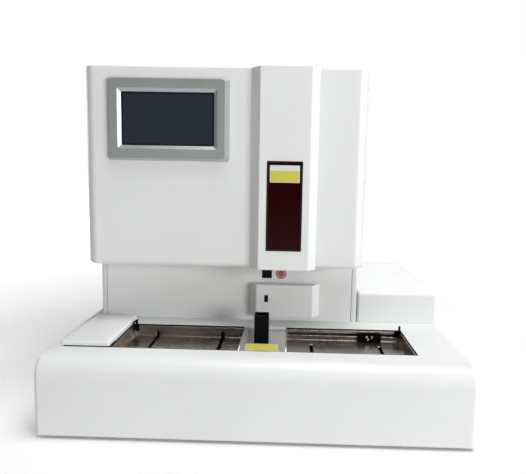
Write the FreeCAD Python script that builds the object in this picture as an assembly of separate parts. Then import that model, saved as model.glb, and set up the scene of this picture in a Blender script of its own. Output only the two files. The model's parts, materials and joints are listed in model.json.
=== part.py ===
import FreeCAD, Part
import math
import os

from FreeCAD import Vector

# A benchtop urine analyzer, in millimetres. X runs to the right, Y to the back and Z up.
# The origin is on the floor, under the middle of the base.

# Base and what stands on it
base_depth = 640.0
base_height = 135.0
foot_height = 6.0
cover_wall = 3.0
base_nose_radius = 35.0
base_edge_radius = 8.0
neck_height = 127.0
neck_setback = 252.0
neck_wall = 2.5
neck_return = 11.0
neck_corner_radius = 4.0
cabinet_side_inset = 26.0
cabinet_height = 382.0
cabinet_depth = 424.0
cabinet_setback = 176.0
cabinet_corner_radius = 21.0
cabinet_back_radius = 8.0
cabinet_top_radius = 2.5
cabinet_low_radius = 9.0
display_left_gap = 45.7
display_right_gap = 41.1
column_right_gap = 92.3
panel_gap = 1.0

# Clearances and sheet thicknesses
seam = 0.3
shaft_gap = 0.05
slot_gap = 0.75
sheet = 2.0
thin_sheet = 1.5
overrun = 5.0
tiny = 0.01

# Tray opening in the deck
front_lip = 60.0
well_right_inset = 85.5
well_length = 140.0
well_depth = 23.5
well_slope = 5.5
tray_flange = 8.0
tray_ledge = 2.0
bridge_reach = 28.3
bridge_width = 86.6
bridge_drop = 2.5
finger_slot_width = 6.5
finger_slot_front_gap = 7.0
load_slot_inset = 52.0
load_slot_spacing = 133.0
load_slot_rise = 11.0
unload_slot_inset = 48.5
unload_slot_spacing = 134.0
unload_slot_back_gap = 32.0
shuttle_slot_height = 6.6
shuttle_slot_rise = 9.5

# Pivot lugs of the dust cover
lug_foot = 11.0
lug_thickness = 2.2
lug_radius = 5.2
lug_hole_radius = 2.2
lug_rise = 2.5
prong_width = 3.6
prong_left_inset = 6.5
prong_right_inset = 1.6
prong_height = 10.0

# Tube sleeve on the bridge
sleeve_width = 28.0
sleeve_depth = 26.0
sleeve_height = 41.5
sleeve_wall = 2.2
sleeve_inset = 9.5
sleeve_setback = 160.0

# Sampling column, the door of the lift
column_width = 96.5
column_bevel = 17.2
column_proud = 19.5
column_wall = 2.5
column_edge_radius = 1.2
window_width = 67.8
window_height = 171.0
window_side_gap = 14.7
window_low_gap = 37.0
window_thickness = 2.0
gasket_width = 2.2
gasket_proud = 0.6
corridor_side_gap = 7.0
corridor_top_gap = 12.0
door_bead_radius = 2.0
door_pin_radius = 1.0
door_pin_reach = 10.0
door_ear_length = 14.0
door_ear_share = 0.12

# Display
display_drop = 98.5
screen_width = 177.0
screen_height = 100.0
bezel_side_border = 21.0
bezel_end_border = 24.5
bezel_flare = 8.0
bezel_proud = 10.0
bezel_radius = 7.0
bezel_step = 6.5
bezel_recess = 4.0
panel_thickness = 2.5
module_depth = 20.0

# Bar code reader on the neck
reader_overhang = 7.0
reader_width = 118.0
reader_bevel = 15.0
reader_rise = 12.0
reader_height = 69.5
reader_proud = 22.0
reader_wall = 2.5
reader_radius = 2.0
reader_slot_gap = 17.5
reader_slot_width = 7.8
reader_slot_height = 15.2
reader_slot_rise = 32.0
scanner_margin = 5.0
scanner_right_reach = 15.0

# Left lid and the used strip bin under it
lid_inset = 22.0
lid_width = 86.5
lid_length = 168.0
lid_edge_radius = 4.0
lid_end_radius = 2.5
lid_wall = 2.5
hinge_bead = 4.7
hinge_pin_radius = 1.5
hinge_lug_width = 9.0
hinge_pin_reach = 8.0
lug_end_gap = 22.0
bin_margin = 16.0
bin_depth = 80.0
bin_rim = 4.0

# Right cover and the strip hopper under it
cover_gap = 2.0
cover_width = 167.0
cover_height = 66.0
cover_back_gap = 10.0
cover_nose_radius = 8.0
cover_edge_radius = 5.0
cover_skin = 2.5
hopper_left_gap = 5.0
hopper_right_gap = 6.0
hopper_height = 58.0
hopper_floor_rise = 18.0
drum_left_gap = 31.0
drum_radius = 16.0
drum_gap = 1.0
drum_shaft_radius = 4.0
drum_grooves = 12
drum_groove_width = 5.6
drum_groove_depth = 2.0

# Frame
pan_flange = 20.0
foot_radius = 17.0
foot_taper = 3.0
foot_inset = 58.0
upright_gap = 10.0
upright_flange = 15.0
upright_back_gap = 18.0
deck_rim = 6.0
roof_drop = 10.0
shelf_front_gap = 10.0
pass_height = 44.0
pass_gap = 4.0

# Transport under the trays
transport_plate = 3.0
transport_front_gap = 7.0
transport_back_gap = 34.0
transport_side_gap = 8.0
rod_radius = 4.0
rod_drop = 16.7
rod_inset = 26.0
pusher_bar_width = 12.0
pusher_bar_height = 14.0
pusher_bar_over = 15.0
finger_width = 5.0
finger_length = 8.0
finger_rise = 10.0
pusher_front_gap = 6.0
belt_width = 6.0
belt_thickness = 1.2
pulley_radius = 6.0
belt_drop = 18.0
pulley_gap = 1.0
idler_wall = 3.0
idler_pin_radius = 2.0
motor_side = 35.0
motor_length = 32.0
motor_radius = 3.0
shuttle_block_width = 47.0
shuttle_block_depth = 9.0
shuttle_block_height = 12.5
shuttle_block_right_gap = 41.0
shuttle_tongue = 4.4
shuttle_car_width = 30.0
shuttle_car_depth = 20.0
shuttle_rod_setback = 14.0
shuttle_rod_radius = 3.0
bracket_width = 4.0

# Sampling lift
needle_left_inset = 12.0
needle_inset = 3.8
needle_radius = 1.0
needle_length = 205.0
needle_park = 2.0
wash_width = 19.0
wash_depth = 17.0
wash_drop = 16.5
wash_rise = 16.0
wash_needle_gap = 3.7
wash_bore_gap = 1.0
arm_reach = 53.0
arm_rise = 186.0
arm_thickness = 12.0
arm_bar = 6.0
arm_width = 8.0
arm_nose = 3.2
lift_plate_inset = 11.0
lift_plate_width = 84.0
lift_plate_thickness = 4.0
lift_plate_rise = 22.0
rail_left_gap = 33.0
rail_width = 12.0
rail_depth = 8.0
rail_margin = 14.0
carriage_width = 28.0
carriage_height = 50.0
carriage_depth = 21.0
nut_width = 24.0
nut_height = 16.0
lift_screw_radius = 3.0
lift_screw_left_gap = 66.0
lift_motor_side = 28.0
lift_motor_length = 30.0
screw_bearing_height = 10.0
screw_socket = 6.0
traverse_block_length = 44.0
traverse_block_height = 24.0
traverse_rod_spacing = 62.0
traverse_travel = 150.0
traverse_end_gap = 8.0
holder_thickness = 6.0

# Strip bed in the neck
bed_rise = 12.0
bed_width = 100.0
bed_front_gap = 15.0
bed_rib = 7.0
bed_leg_width = 6.0
comb_bar = 4.0
comb_bar_spacing = 60.0
comb_drop = 5.0
comb_teeth = 13
comb_overhang = 30.0
comb_pitch = 34.0
comb_tooth = 3.0
comb_tooth_rise = 5.0
comb_slot_length = 19.0
comb_slot_width = 4.4
comb_right_gap = 24.0
guide_width = 8.0
guide_edge = 12.0
guide_gap = 5.0
head_width = 64.0
head_height = 46.0
head_clearance = 26.0
head_left_gap = 60.0
head_leg = 6.0

# Electrics and fluids
psu_width = 160.0
psu_length = 100.0
psu_height = 48.0
psu_left_gap = 140.0
psu_back_gap = 80.0
psu_slots = 9
psu_slot_margin = 14.0
psu_slot_width = 4.0
pump_left_gap = 34.0
pump_back_gap = 130.0
pump_rise = 44.0
pump_head_radius = 30.0
pump_head_depth = 24.0
pump_wall = 4.0
pump_motor_radius = 18.0
pump_motor_length = 46.0
pump_roller_radius = 6.0
pump_shaft_radius = 3.0
board_width = 180.0
board_length = 130.0
board_thickness = 1.6
board_standoff = 8.0
board_left_gap = 30.0
board_setback = 380.0
chip_size = 22.5
big_chip_width = 33.75
big_chip_height = 4.0
fan_side = 80.0
fan_depth = 25.0
fan_bore_radius = 38.0
fan_hub_radius = 16.0
fan_blades = 7
fan_blade_thickness = 1.6
fan_pitch_angle = 38.0
fan_shaft_radius = 2.5
fan_drop = 112.0
fan_inset = 115.0
io_width = 190.0
io_height = 70.0
io_inset = 40.0
io_rise = 30.0
io_rim = 8.0
io_recess = 14.0
inlet_width = 50.0
inlet_height = 28.0
inlet_depth = 24.0
inlet_face = 2.0
rocker_width = 13.0
rocker_height = 20.0
rocker_pin_radius = 1.5
port_gap = 10.0
barb_radius = 3.2
barb_stem_radius = 2.6
barb_bore_radius = 1.7
barb_length = 11.0
barb_ridge_length = 4.0
barb_nut_radius = 5.0

# Places worked out from the sizes above
bezel_width = screen_width + bezel_side_border * 2
bezel_height = screen_height + bezel_end_border * 2
cabinet_width = (display_left_gap + bezel_width + bezel_flare * 2 + display_right_gap + column_bevel * 2
                 + column_width + column_right_gap)
base_width = cabinet_side_inset + cabinet_width + cover_gap + cover_width
base_left = -base_width / 2
base_right = base_width / 2
front_y = -base_depth / 2
back_y = base_depth / 2
deck_z = foot_height + base_height
under_deck_z = deck_z - cover_wall
pan_z = foot_height + sheet
cabinet_left = base_left + cabinet_side_inset
cabinet_right = cabinet_left + cabinet_width
cabinet_front = front_y + cabinet_setback
cabinet_back = cabinet_front + cabinet_depth
cabinet_z = deck_z + neck_height
cabinet_top = cabinet_z + cabinet_height
neck_front = front_y + neck_setback
well_front = front_y + front_lip
well_back = well_front + well_length
well_floor = deck_z - well_depth
display_x = cabinet_left + display_left_gap + bezel_flare + bezel_width / 2
display_z = cabinet_top - display_drop
column_right = cabinet_right - column_right_gap - column_bevel
column_left = column_right - column_width
bridge_left = column_left - bridge_reach
bridge_right = bridge_left + bridge_width
bridge_top = deck_z - bridge_drop
sleeve_x = column_left + sleeve_inset
reader_left = column_left - reader_overhang
column_front = cabinet_front - column_proud
door_back = cabinet_front - seam
corridor_left = column_left - corridor_side_gap
corridor_right = column_right + corridor_side_gap
corridor_top = cabinet_top - corridor_top_gap
lid_left = base_left + lid_inset
well_left = lid_left + lid_width
well_right = base_right - well_right_inset
cover_left = cabinet_right + cover_gap
cover_back = back_y - cover_back_gap
cover_top = deck_z + cover_height
web_left = cabinet_left + upright_gap
web_right = cabinet_right - upright_gap
web_front = neck_front + deck_rim + seam
web_back = cabinet_back - upright_back_gap
roof_z = cabinet_top - roof_drop
shelf_z = cabinet_z + cover_wall
needle_x = column_left + needle_left_inset
needle_y = column_front + column_wall + needle_inset
lift_face = needle_y + arm_reach
lift_plate_left = column_left + lift_plate_inset
lift_low = cabinet_z + lift_plate_rise
traverse_rod_z = roof_z - traverse_block_height / 2 - holder_thickness / 2
lift_top = traverse_rod_z + traverse_block_height / 2
rod_z = well_floor - rod_drop
io_face = back_y - cover_wall - io_recess
transport_front = well_front - transport_front_gap
transport_back = well_back + transport_back_gap
bed_z = deck_z + bed_rise
bed_low = bed_z - sheet - bed_rib
bed_front = neck_front + bed_front_gap
bed_back = bed_front + bed_width
needle_tip = cabinet_z + wash_rise + needle_park


def block(x0, x1, y0, y1, z0, z1):
    return Part.makeBox(x1 - x0, y1 - y0, z1 - z0, Vector(x0, y0, z0))


def rod_x(x0, x1, y, z, radius):
    return Part.makeCylinder(radius, x1 - x0, Vector(x0, y, z), Vector(1, 0, 0))


def rod_y(x, y0, y1, z, radius):
    return Part.makeCylinder(radius, y1 - y0, Vector(x, y0, z), Vector(0, 1, 0))


def rod_up(x, y, z0, z1, radius):
    return Part.makeCylinder(radius, z1 - z0, Vector(x, y, z0))


def fuse(shapes):
    result = shapes[0]
    for shape in shapes[1:]:
        result = result.fuse(shape)
    return result.removeSplitter()


def cut(shape, tools):
    for tool in tools:
        shape = shape.cut(tool)
    return shape


def rounded_wire(corners, radii):
    """A closed wire through the corners, each one rounded by its radius."""
    edges = []
    last_end = None
    first_start = None
    count = len(corners)
    for i in range(count):
        corner = corners[i]
        back = (corners[i - 1] - corner).normalize()
        ahead = (corners[(i + 1) % count] - corner).normalize()
        half_turn = back.getAngle(ahead) / 2
        run = radii[i] / math.tan(half_turn)
        start = corner + back * run
        end = corner + ahead * run
        if last_end is not None:
            edges.append(Part.LineSegment(last_end, start).toShape())
        if radii[i] > 0:
            middle_way = (back + ahead).normalize()
            middle = corner + middle_way * (radii[i] / math.sin(half_turn) - radii[i])
            edges.append(Part.Arc(start, middle, end).toShape())
        if first_start is None:
            first_start = start
        last_end = end
    edges.append(Part.LineSegment(last_end, first_start).toShape())
    return Part.Wire(edges)


def prism(corners, radii, way):
    return Part.Face(rounded_wire(corners, radii)).extrude(way)


def plan_prism(x0, x1, y0, y1, z0, z1, front_radius, back_radius):
    corners = [Vector(x0, y0, z0), Vector(x1, y0, z0), Vector(x1, y1, z0), Vector(x0, y1, z0)]
    return prism(corners, [front_radius, front_radius, back_radius, back_radius], Vector(0, 0, z1 - z0))


def plate_y(x0, x1, y0, y1, z0, z1, radius):
    """An upright plate with four rounded corners, seen from the front."""
    corners = [Vector(x0, y0, z0), Vector(x1, y0, z0), Vector(x1, y0, z1), Vector(x0, y0, z1)]
    return prism(corners, [radius] * 4, Vector(0, y1 - y0, 0))


def edges_at_x(shape, x, low_z):
    return [e for e in shape.Edges
            if abs(e.BoundBox.XMin - x) < tiny and abs(e.BoundBox.XMax - x) < tiny
            and e.BoundBox.ZMax > low_z + tiny]


def edges_at_z(shape, z):
    return [e for e in shape.Edges
            if abs(e.BoundBox.ZMin - z) < tiny and abs(e.BoundBox.ZMax - z) < tiny]


def hood(x0, x1, y0, y1, z0, z1, nose, edge):
    """A block with a round front top edge and softer edges round both sides and the back."""
    corners = [Vector(x0, y0, z0), Vector(x0, y0, z1), Vector(x0, y1, z1), Vector(x0, y1, z0)]
    shape = prism(corners, [0, nose, edge, 0], Vector(x1 - x0, 0, 0))
    return shape.makeFillet(edge, edges_at_x(shape, x0, z0) + edges_at_x(shape, x1, z0))


def base_cover():
    outer = hood(base_left, base_right, front_y, back_y, foot_height, deck_z,
                 base_nose_radius, base_edge_radius)
    w = cover_wall
    inner = hood(base_left + w, base_right - w, front_y + w, back_y - w, foot_height - overrun,
                 under_deck_z, base_nose_radius - w, base_edge_radius - w)
    high, low = deck_z + overrun, under_deck_z - overrun
    well = block(well_left, well_right, well_front, well_back, low, high)
    neck_hole = block(cabinet_left + deck_rim, cabinet_right - deck_rim, neck_front + deck_rim,
                      cabinet_back - deck_rim, low, high)
    m = bin_margin
    bin_hole = block(lid_left + m, well_left - m, well_front + m, well_front + lid_length - m, low, high)
    io_hole = block(base_left + io_inset, base_left + io_inset + io_width, back_y - w - overrun,
                    back_y + overrun, foot_height + io_rise, foot_height + io_rise + io_height)
    return cut(outer, [inner, well, neck_hole, bin_hole, io_hole])


def base_pan():
    g = cover_wall + seam
    r = base_edge_radius - cover_wall
    outer = plan_prism(base_left + g, base_right - g, front_y + g, back_y - g, foot_height,
                       pan_z + pan_flange, r, r)
    g = g + sheet
    inner = plan_prism(base_left + g, base_right - g, front_y + g, back_y - g, pan_z,
                       pan_z + pan_flange + overrun, r - sheet, r - sheet)
    return outer.cut(inner)


def rubber_feet():
    feet = []
    for x in (base_left + foot_inset, base_right - foot_inset):
        for y in (front_y + foot_inset, back_y - foot_inset):
            feet.append(Part.makeCone(foot_radius - foot_taper, foot_radius, foot_height, Vector(x, y, 0)))
    return Part.makeCompound(feet)


def frame_uprights():
    y0 = web_front
    pair = []
    for web, side in ((web_left, 1), (web_right, -1)):
        a = web
        b = web + side * sheet
        c = web + side * upright_flange
        corners = [Vector(a, y0, pan_z), Vector(c, y0, pan_z), Vector(c, y0 + sheet, pan_z),
                   Vector(b, y0 + sheet, pan_z), Vector(b, web_back - sheet, pan_z),
                   Vector(c, web_back - sheet, pan_z), Vector(c, web_back, pan_z),
                   Vector(a, web_back, pan_z)]
        pair.append(prism(corners, [0] * len(corners), Vector(0, 0, roof_z - pan_z)))
    pair[1] = pair[1].cut(strip_pass(web_right - upright_flange, web_right + overrun))
    return Part.makeCompound(pair)


def strip_pass(x0, x1):
    """The way that the strip bed takes from the right cover into the neck."""
    return block(x0, x1, bed_front - pass_gap, bed_back + pass_gap, deck_z - overrun, bed_z + pass_height)


def traverse_holder_faces():
    """The front faces of the two rod holders, which stand clear of the block's travel."""
    first = lift_face - traverse_end_gap - holder_thickness
    block_back = lift_face + lift_plate_thickness + traverse_block_length
    return first, block_back + traverse_travel + traverse_end_gap


def traverse_rod_xs():
    middle = lift_plate_left + lift_plate_width / 2
    return middle - traverse_rod_spacing / 2, middle + traverse_rod_spacing / 2


def roof_plate():
    first, last = traverse_holder_faces()
    top = block(web_left + sheet, web_right - sheet, first, web_back - sheet, roof_z, roof_z + sheet)
    pads = block(web_left, web_right, web_front, web_back, roof_z, roof_z + sheet)
    x0, x1 = lift_plate_left, lift_plate_left + lift_plate_width
    low = traverse_rod_z - traverse_block_height / 2
    holders = [block(x0, x1, y, y + holder_thickness, low, roof_z) for y in (first, last)]
    run = belt_runs()[2]
    lug = idler_lug(run, first, first + holder_thickness, run[1] - pulley_radius, low)
    return fuse([top, pads, lug, idler(run)] + holders)


def shelf_plate():
    x0, x1 = web_left + sheet, web_right - sheet
    y0 = neck_front - shelf_front_gap
    plate = block(x0, x1, y0, web_back - sheet, shelf_z, shelf_z + sheet)
    flange_post = upright_flange - sheet
    y1 = web_front
    notches = [block(a, b, y1 - seam, y1 + sheet + seam, shelf_z - tiny, shelf_z + sheet + tiny)
               for a, b in ((x0 - tiny, x0 + flange_post + seam), (x1 - flange_post - seam, x1 + tiny))]
    corridor = block(corridor_left, corridor_right, y0 - overrun,
                     needle_y + traverse_travel + arm_width * 2, shelf_z - tiny, shelf_z + sheet + tiny)
    return cut(plate, notches + [corridor])


def transport_frame():
    x0, x1 = well_left - transport_side_gap, well_right + transport_side_gap + bracket_width
    t = transport_plate
    front = block(x0, x1, transport_front - t, transport_front, pan_z, under_deck_z - thin_sheet)
    back = block(x0, x1, transport_back, transport_back + t, pan_z, under_deck_z)
    rod_y0 = well_back + shuttle_rod_setback
    y0 = rod_y0 - shuttle_rod_radius * 2
    z1 = shuttle_rod_z() + shuttle_rod_radius * 2
    z0 = z1 - shuttle_rod_radius * 4
    ears = [block(x, x + bracket_width, y0, transport_back, z0, z1) for x in shuttle_ear_xs()]
    lugs = []
    for run in belt_runs()[:2]:
        z = run[1]
        lugs.append(idler_lug(run, transport_front, run[2] + pulley_radius, z - pulley_radius,
                              z + pulley_radius))
        lugs.append(idler(run))
    return Part.makeCompound([fuse([front] + lugs), fuse([back] + ears)])


def shuttle_ear_xs():
    return bridge_right - bracket_width * 2, well_right + transport_side_gap


def shuttle_rod_z():
    return rod_z + rod_radius + shuttle_rod_radius * 2 + seam * 2


def tray(x0, x1, left_slope, right_slope):
    """A thin well with one sloped side, and a flange that shows as a narrow ledge under the deck."""
    t = thin_sheet
    top, low = under_deck_z, well_floor - t
    y0, y1 = well_front + tray_ledge, well_back - tray_ledge
    left = tray_ledge * (left_slope > 0)
    right = tray_ledge * (right_slope > 0)
    inside = [Vector(x0 + left, y0, top), Vector(x0 + left + left_slope, y0, well_floor),
              Vector(x1 - right - right_slope, y0, well_floor), Vector(x1 - right, y0, top)]
    lead = overrun / (top - well_floor)
    inside[0] = inside[0] - Vector(left_slope, 0, -(top - well_floor)) * lead
    inside[3] = inside[3] + Vector(right_slope, 0, top - well_floor) * lead
    outside = [Vector(x0 + left - t * (left_slope > 0), y0 - t, top),
               Vector(x0 + left + left_slope - t * (left_slope > 0), y0 - t, low),
               Vector(x1 - right - right_slope + t * (right_slope > 0), y0 - t, low),
               Vector(x1 - right + t * (right_slope > 0), y0 - t, top)]
    well = prism(inside, [0] * 4, Vector(0, y1 - y0, 0))
    body = prism(outside, [0] * 4, Vector(0, y1 - y0 + t * 2, 0))
    f = tray_flange
    flange = block(x0 - f * (left_slope > 0), x1 + f * (right_slope > 0), well_front - f, well_back + f,
                   top - t, top)
    return fuse([body, flange]).cut(well)


def finger_slot(x, y0, y1, z1):
    return block(x - finger_slot_width / 2, x + finger_slot_width / 2, y0, y1,
                 well_floor - thin_sheet - overrun, z1)


def load_slot_xs():
    first = well_left + load_slot_inset
    return first, first + load_slot_spacing


def unload_slot_xs():
    first = bridge_right + unload_slot_inset
    return first, first + unload_slot_spacing


def load_tray():
    shape = tray(well_left, bridge_left, well_slope, 0)
    y0 = well_front + finger_slot_front_gap
    y1 = well_back + thin_sheet + tiny
    slots = [finger_slot(x, y0, y1, well_floor + load_slot_rise) for x in load_slot_xs()]
    return cut(shape, slots)


def unload_tray():
    shape = tray(bridge_right, well_right, 0, well_slope)
    y0 = well_front + finger_slot_front_gap
    y1 = well_back - unload_slot_back_gap
    slots = [finger_slot(x, y0, y1, well_floor + overrun) for x in unload_slot_xs()]
    z0 = well_floor + shuttle_slot_rise
    wall_y = well_back - tray_ledge
    long_slot = block(bridge_right + thin_sheet * 2, well_right - tray_ledge - well_slope - thin_sheet,
                      wall_y - tiny, wall_y + thin_sheet + tiny, z0, z0 + shuttle_slot_height)
    return cut(shape, slots + [long_slot])


def bridge_plate():
    t = thin_sheet
    outer = block(bridge_left, bridge_right, well_front, well_back, well_floor, bridge_top)
    inner = block(bridge_left + t, bridge_right - t, well_front + t, well_back - t,
                  well_floor - overrun, bridge_top - t)
    return outer.cut(inner)


def tube_sleeve():
    x0, x1 = sleeve_x - sleeve_width / 2, sleeve_x + sleeve_width / 2
    y = front_y + sleeve_setback
    y0, y1 = y - sleeve_depth / 2, y + sleeve_depth / 2
    w = sleeve_wall
    outer = plan_prism(x0, x1, y0, y1, bridge_top, bridge_top + sleeve_height, w / 2, w / 2)
    bore = block(x0 + w, x1 - w, y0 + w, y1 - w, bridge_top + w, bridge_top + sleeve_height + overrun)
    return outer.cut(bore)


def corner_brackets():
    """Feet on the back walls of the trays: a ring and a prong for a dust cover, and a lone prong."""
    t = lug_thickness
    y1 = well_back - tray_ledge
    low = under_deck_z - lug_foot
    lean = (well_slope + seam) * lug_foot / (under_deck_z - well_floor)
    made = []
    for wall, side, inset in ((well_left, 1, prong_left_inset), (well_right, -1, prong_right_inset)):
        x = wall + side * (tray_ledge + seam)
        inner = x + side * lug_foot
        corners = [Vector(x + side * lean, y1, low), Vector(inner, y1, low), Vector(inner, y1, deck_z),
                   Vector(x, y1, deck_z), Vector(x, y1, under_deck_z)]
        foot = prism(corners, [0] * 5, Vector(0, -t, 0))
        middle = x + side * inset
        prong = block(middle - prong_width / 2, middle + prong_width / 2, y1 - t * 2, y1, under_deck_z + seam,
                      deck_z + prong_height)
        made.append(fuse([foot, prong]))
    x, z = well_left + tray_ledge + lug_radius - thin_sheet, deck_z + lug_rise
    ring = rod_y(x, y1 - t, y1, z, lug_radius)
    made[0] = fuse([made[0], ring]).cut(rod_y(x, y1 - t - tiny, y1 + tiny, z, lug_hole_radius))
    return Part.makeCompound(made)


def lid_axis():
    return lid_left + hinge_bead, deck_z + seam + hinge_bead


def cover_axis():
    return cover_back - hinge_bead, deck_z + seam + hinge_bead


def lid_lug_ys():
    return well_front + lug_end_gap, well_front + lid_length - lug_end_gap - hinge_lug_width


def cover_lug_xs():
    return cover_left + lug_end_gap, base_right - lug_end_gap - hinge_lug_width


def hinge_lugs():
    lugs = []
    x, z = lid_axis()
    for y in lid_lug_ys():
        y1 = y + hinge_lug_width
        ear = fuse([rod_y(x, y, y1, z, hinge_bead), block(x - hinge_bead, x + hinge_bead, y, y1, deck_z, z)])
        pin = rod_y(x, y - hinge_pin_reach, y1 + hinge_pin_reach, z, hinge_pin_radius)
        lugs.append(fuse([ear, pin]))
    y, z = cover_axis()
    for x in cover_lug_xs():
        x1 = x + hinge_lug_width
        ear = fuse([rod_x(x, x1, y, z, hinge_bead), block(x, x1, y - hinge_bead, y + hinge_bead, deck_z, z)])
        pin = rod_x(x - hinge_pin_reach, x1 + hinge_pin_reach, y, z, hinge_pin_radius)
        lugs.append(fuse([ear, pin]))
    x, y = door_axis()
    for z in door_ear_zs():
        lugs.append(door_ear(x, y, z))
    return Part.makeCompound(lugs)


def door_foot_angle():
    """The angle between the right bevel of the column and the cabinet front."""
    return math.atan2(column_proud - seam, column_bevel)


def door_axis():
    back_from_foot = door_bead_radius / math.tan(door_foot_angle() / 2)
    return column_right + column_bevel - back_from_foot, door_back - door_bead_radius


def door_ear_zs():
    low = cabinet_z + cabinet_height * door_ear_share
    high = cabinet_top - cabinet_height * door_ear_share - door_ear_length
    return low, high


def door_ear(x, y, z):
    """An ear on the cabinet front that fills a notch in the door's bead, with a pin out of both ends."""
    z1 = z + door_ear_length
    knuckle = rod_up(x, y, z, z1, door_bead_radius)
    web = block(x - door_bead_radius, x, y, cabinet_front, z, z1)
    pin = rod_up(x, y, z - door_pin_reach, z1 + door_pin_reach, door_pin_radius)
    return fuse([knuckle, web, pin])


def strip_bin():
    m = bin_margin + seam
    x0, x1 = lid_left + m, well_left - m
    y0, y1 = well_front + m, well_front + lid_length - m
    t = thin_sheet
    outer = block(x0, x1, y0, y1, deck_z - bin_depth, deck_z + t)
    rim = block(x0 - bin_rim, x1 + bin_rim, y0 - bin_rim, y1 + bin_rim, deck_z, deck_z + t)
    inner = block(x0 + t, x1 - t, y0 + t, y1 - t, deck_z - bin_depth + t, deck_z + t + overrun)
    return fuse([outer, rim]).cut(inner)


def neck_shell():
    w = neck_wall
    top = cabinet_z - seam
    outer = plan_prism(cabinet_left, cabinet_right, neck_front, cabinet_back, deck_z, top,
                       neck_corner_radius, neck_corner_radius)
    inner = block(cabinet_left + w, cabinet_right - w, neck_front + w, cabinet_back - w,
                  deck_z - overrun, top + overrun)
    gate = block(cabinet_left + neck_return, cabinet_right - neck_return, neck_front - overrun,
                 neck_front + w + overrun, deck_z - overrun, top + overrun)
    side = strip_pass(cabinet_right - w - overrun, cabinet_right + overrun)
    return cut(outer, [inner, gate, side])


def neck_panel():
    g = neck_return + panel_gap
    return block(cabinet_left + g, cabinet_right - g, neck_front, neck_front + sheet, deck_z,
                 cabinet_z - seam)


def bevelled_plan(x0, x1, y0, y1, bevel, inset, back):
    """A front between x0 and x1 with a bevel on each side back to y1, seen from above and set in."""
    deep = y1 - y0
    side = inset * (math.hypot(bevel, deep) - bevel) / deep
    run = bevel * (back - y0 - inset) / deep
    a, b = x0 + side, x1 - side
    return [(a - run, back), (a, y0 + inset), (b, y0 + inset), (b + run, back)]


def reader_prism(inset, back, z0, z1, radius):
    plan = bevelled_plan(reader_left, reader_left + reader_width, neck_front - reader_proud, neck_front,
                         reader_bevel, inset, back)
    return prism([Vector(x, y, z0) for x, y in plan], [0, radius, radius, 0], Vector(0, 0, z1 - z0))


def reader_housing():
    z0 = deck_z + reader_rise
    z1 = z0 + reader_height
    y0 = neck_front - reader_proud
    w = reader_wall
    outer = reader_prism(0, neck_front, z0, z1, reader_radius * 2)
    rims = [e for e in edges_at_z(outer, z0) + edges_at_z(outer, z1)
            if e.BoundBox.YMin < neck_front - tiny * 2]
    outer = outer.makeFillet(reader_radius, rims)
    inner = reader_prism(w, neck_front + overrun, z0 + w, z1 - w, reader_radius)
    x, z = reader_left + reader_slot_gap, z0 + reader_slot_rise
    slot = block(x, x + reader_slot_width, y0 - overrun, y0 + w + overrun, z, z + reader_slot_height)
    return cut(outer, [inner, slot])


def reader_window():
    x, z = reader_left + reader_slot_gap, deck_z + reader_rise + reader_slot_rise
    y0 = neck_front - reader_proud + reader_wall / 2
    front = block(x, x + reader_slot_width, y0, y0 + reader_wall / 2, z, z + reader_slot_height)
    y1 = y0 + reader_wall / 2
    m = reader_wall
    back = block(x - m, x + reader_slot_width + m, y1, y1 + thin_sheet, z - m, z + reader_slot_height + m)
    return fuse([front, back])


def scanner_engine():
    x, z = reader_left + reader_slot_gap, deck_z + reader_rise + reader_slot_rise
    m = scanner_margin
    y0 = neck_front - reader_proud + reader_wall + thin_sheet
    body = block(x - m, x + reader_slot_width + scanner_right_reach, y0, neck_front, z - m,
                 z + reader_slot_height + m)
    edges = [e for e in body.Edges if e.BoundBox.YMax - e.BoundBox.YMin > m]
    return body.makeFillet(m / 4, edges)


def cabinet_shell():
    w = cover_wall
    outer = plan_prism(cabinet_left, cabinet_right, cabinet_front, cabinet_back, cabinet_z, cabinet_top,
                       cabinet_corner_radius, cabinet_back_radius)
    outer = outer.makeFillet(cabinet_low_radius, edges_at_z(outer, cabinet_z))
    outer = outer.makeFillet(cabinet_top_radius, edges_at_z(outer, cabinet_top))
    inner = plan_prism(cabinet_left + w, cabinet_right - w, cabinet_front + w, cabinet_back + overrun,
                       cabinet_z + w, cabinet_top - w, cabinet_corner_radius - w, 0)
    low_front = [e for e in edges_at_z(inner, cabinet_z + w) if e.BoundBox.YMin < cabinet_back]
    inner = inner.makeFillet(cabinet_low_radius - w, low_front)
    corridor = block(corridor_left, corridor_right, cabinet_front - overrun, neck_front + deck_rim,
                     cabinet_z - overrun, corridor_top)
    neck_hole = block(cabinet_left + deck_rim, cabinet_right - deck_rim, neck_front + deck_rim,
                      cabinet_back - deck_rim, cabinet_z - overrun, cabinet_z + cabinet_low_radius)
    x0, x1, z0, z1 = display_span(bezel_recess)
    screen = block(x0, x1, cabinet_front - overrun, cabinet_front + w + overrun, z0, z1)
    return cut(outer, [inner, corridor, neck_hole, screen])


def fan_place():
    return cabinet_left + fan_inset, cabinet_top - fan_drop


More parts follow.
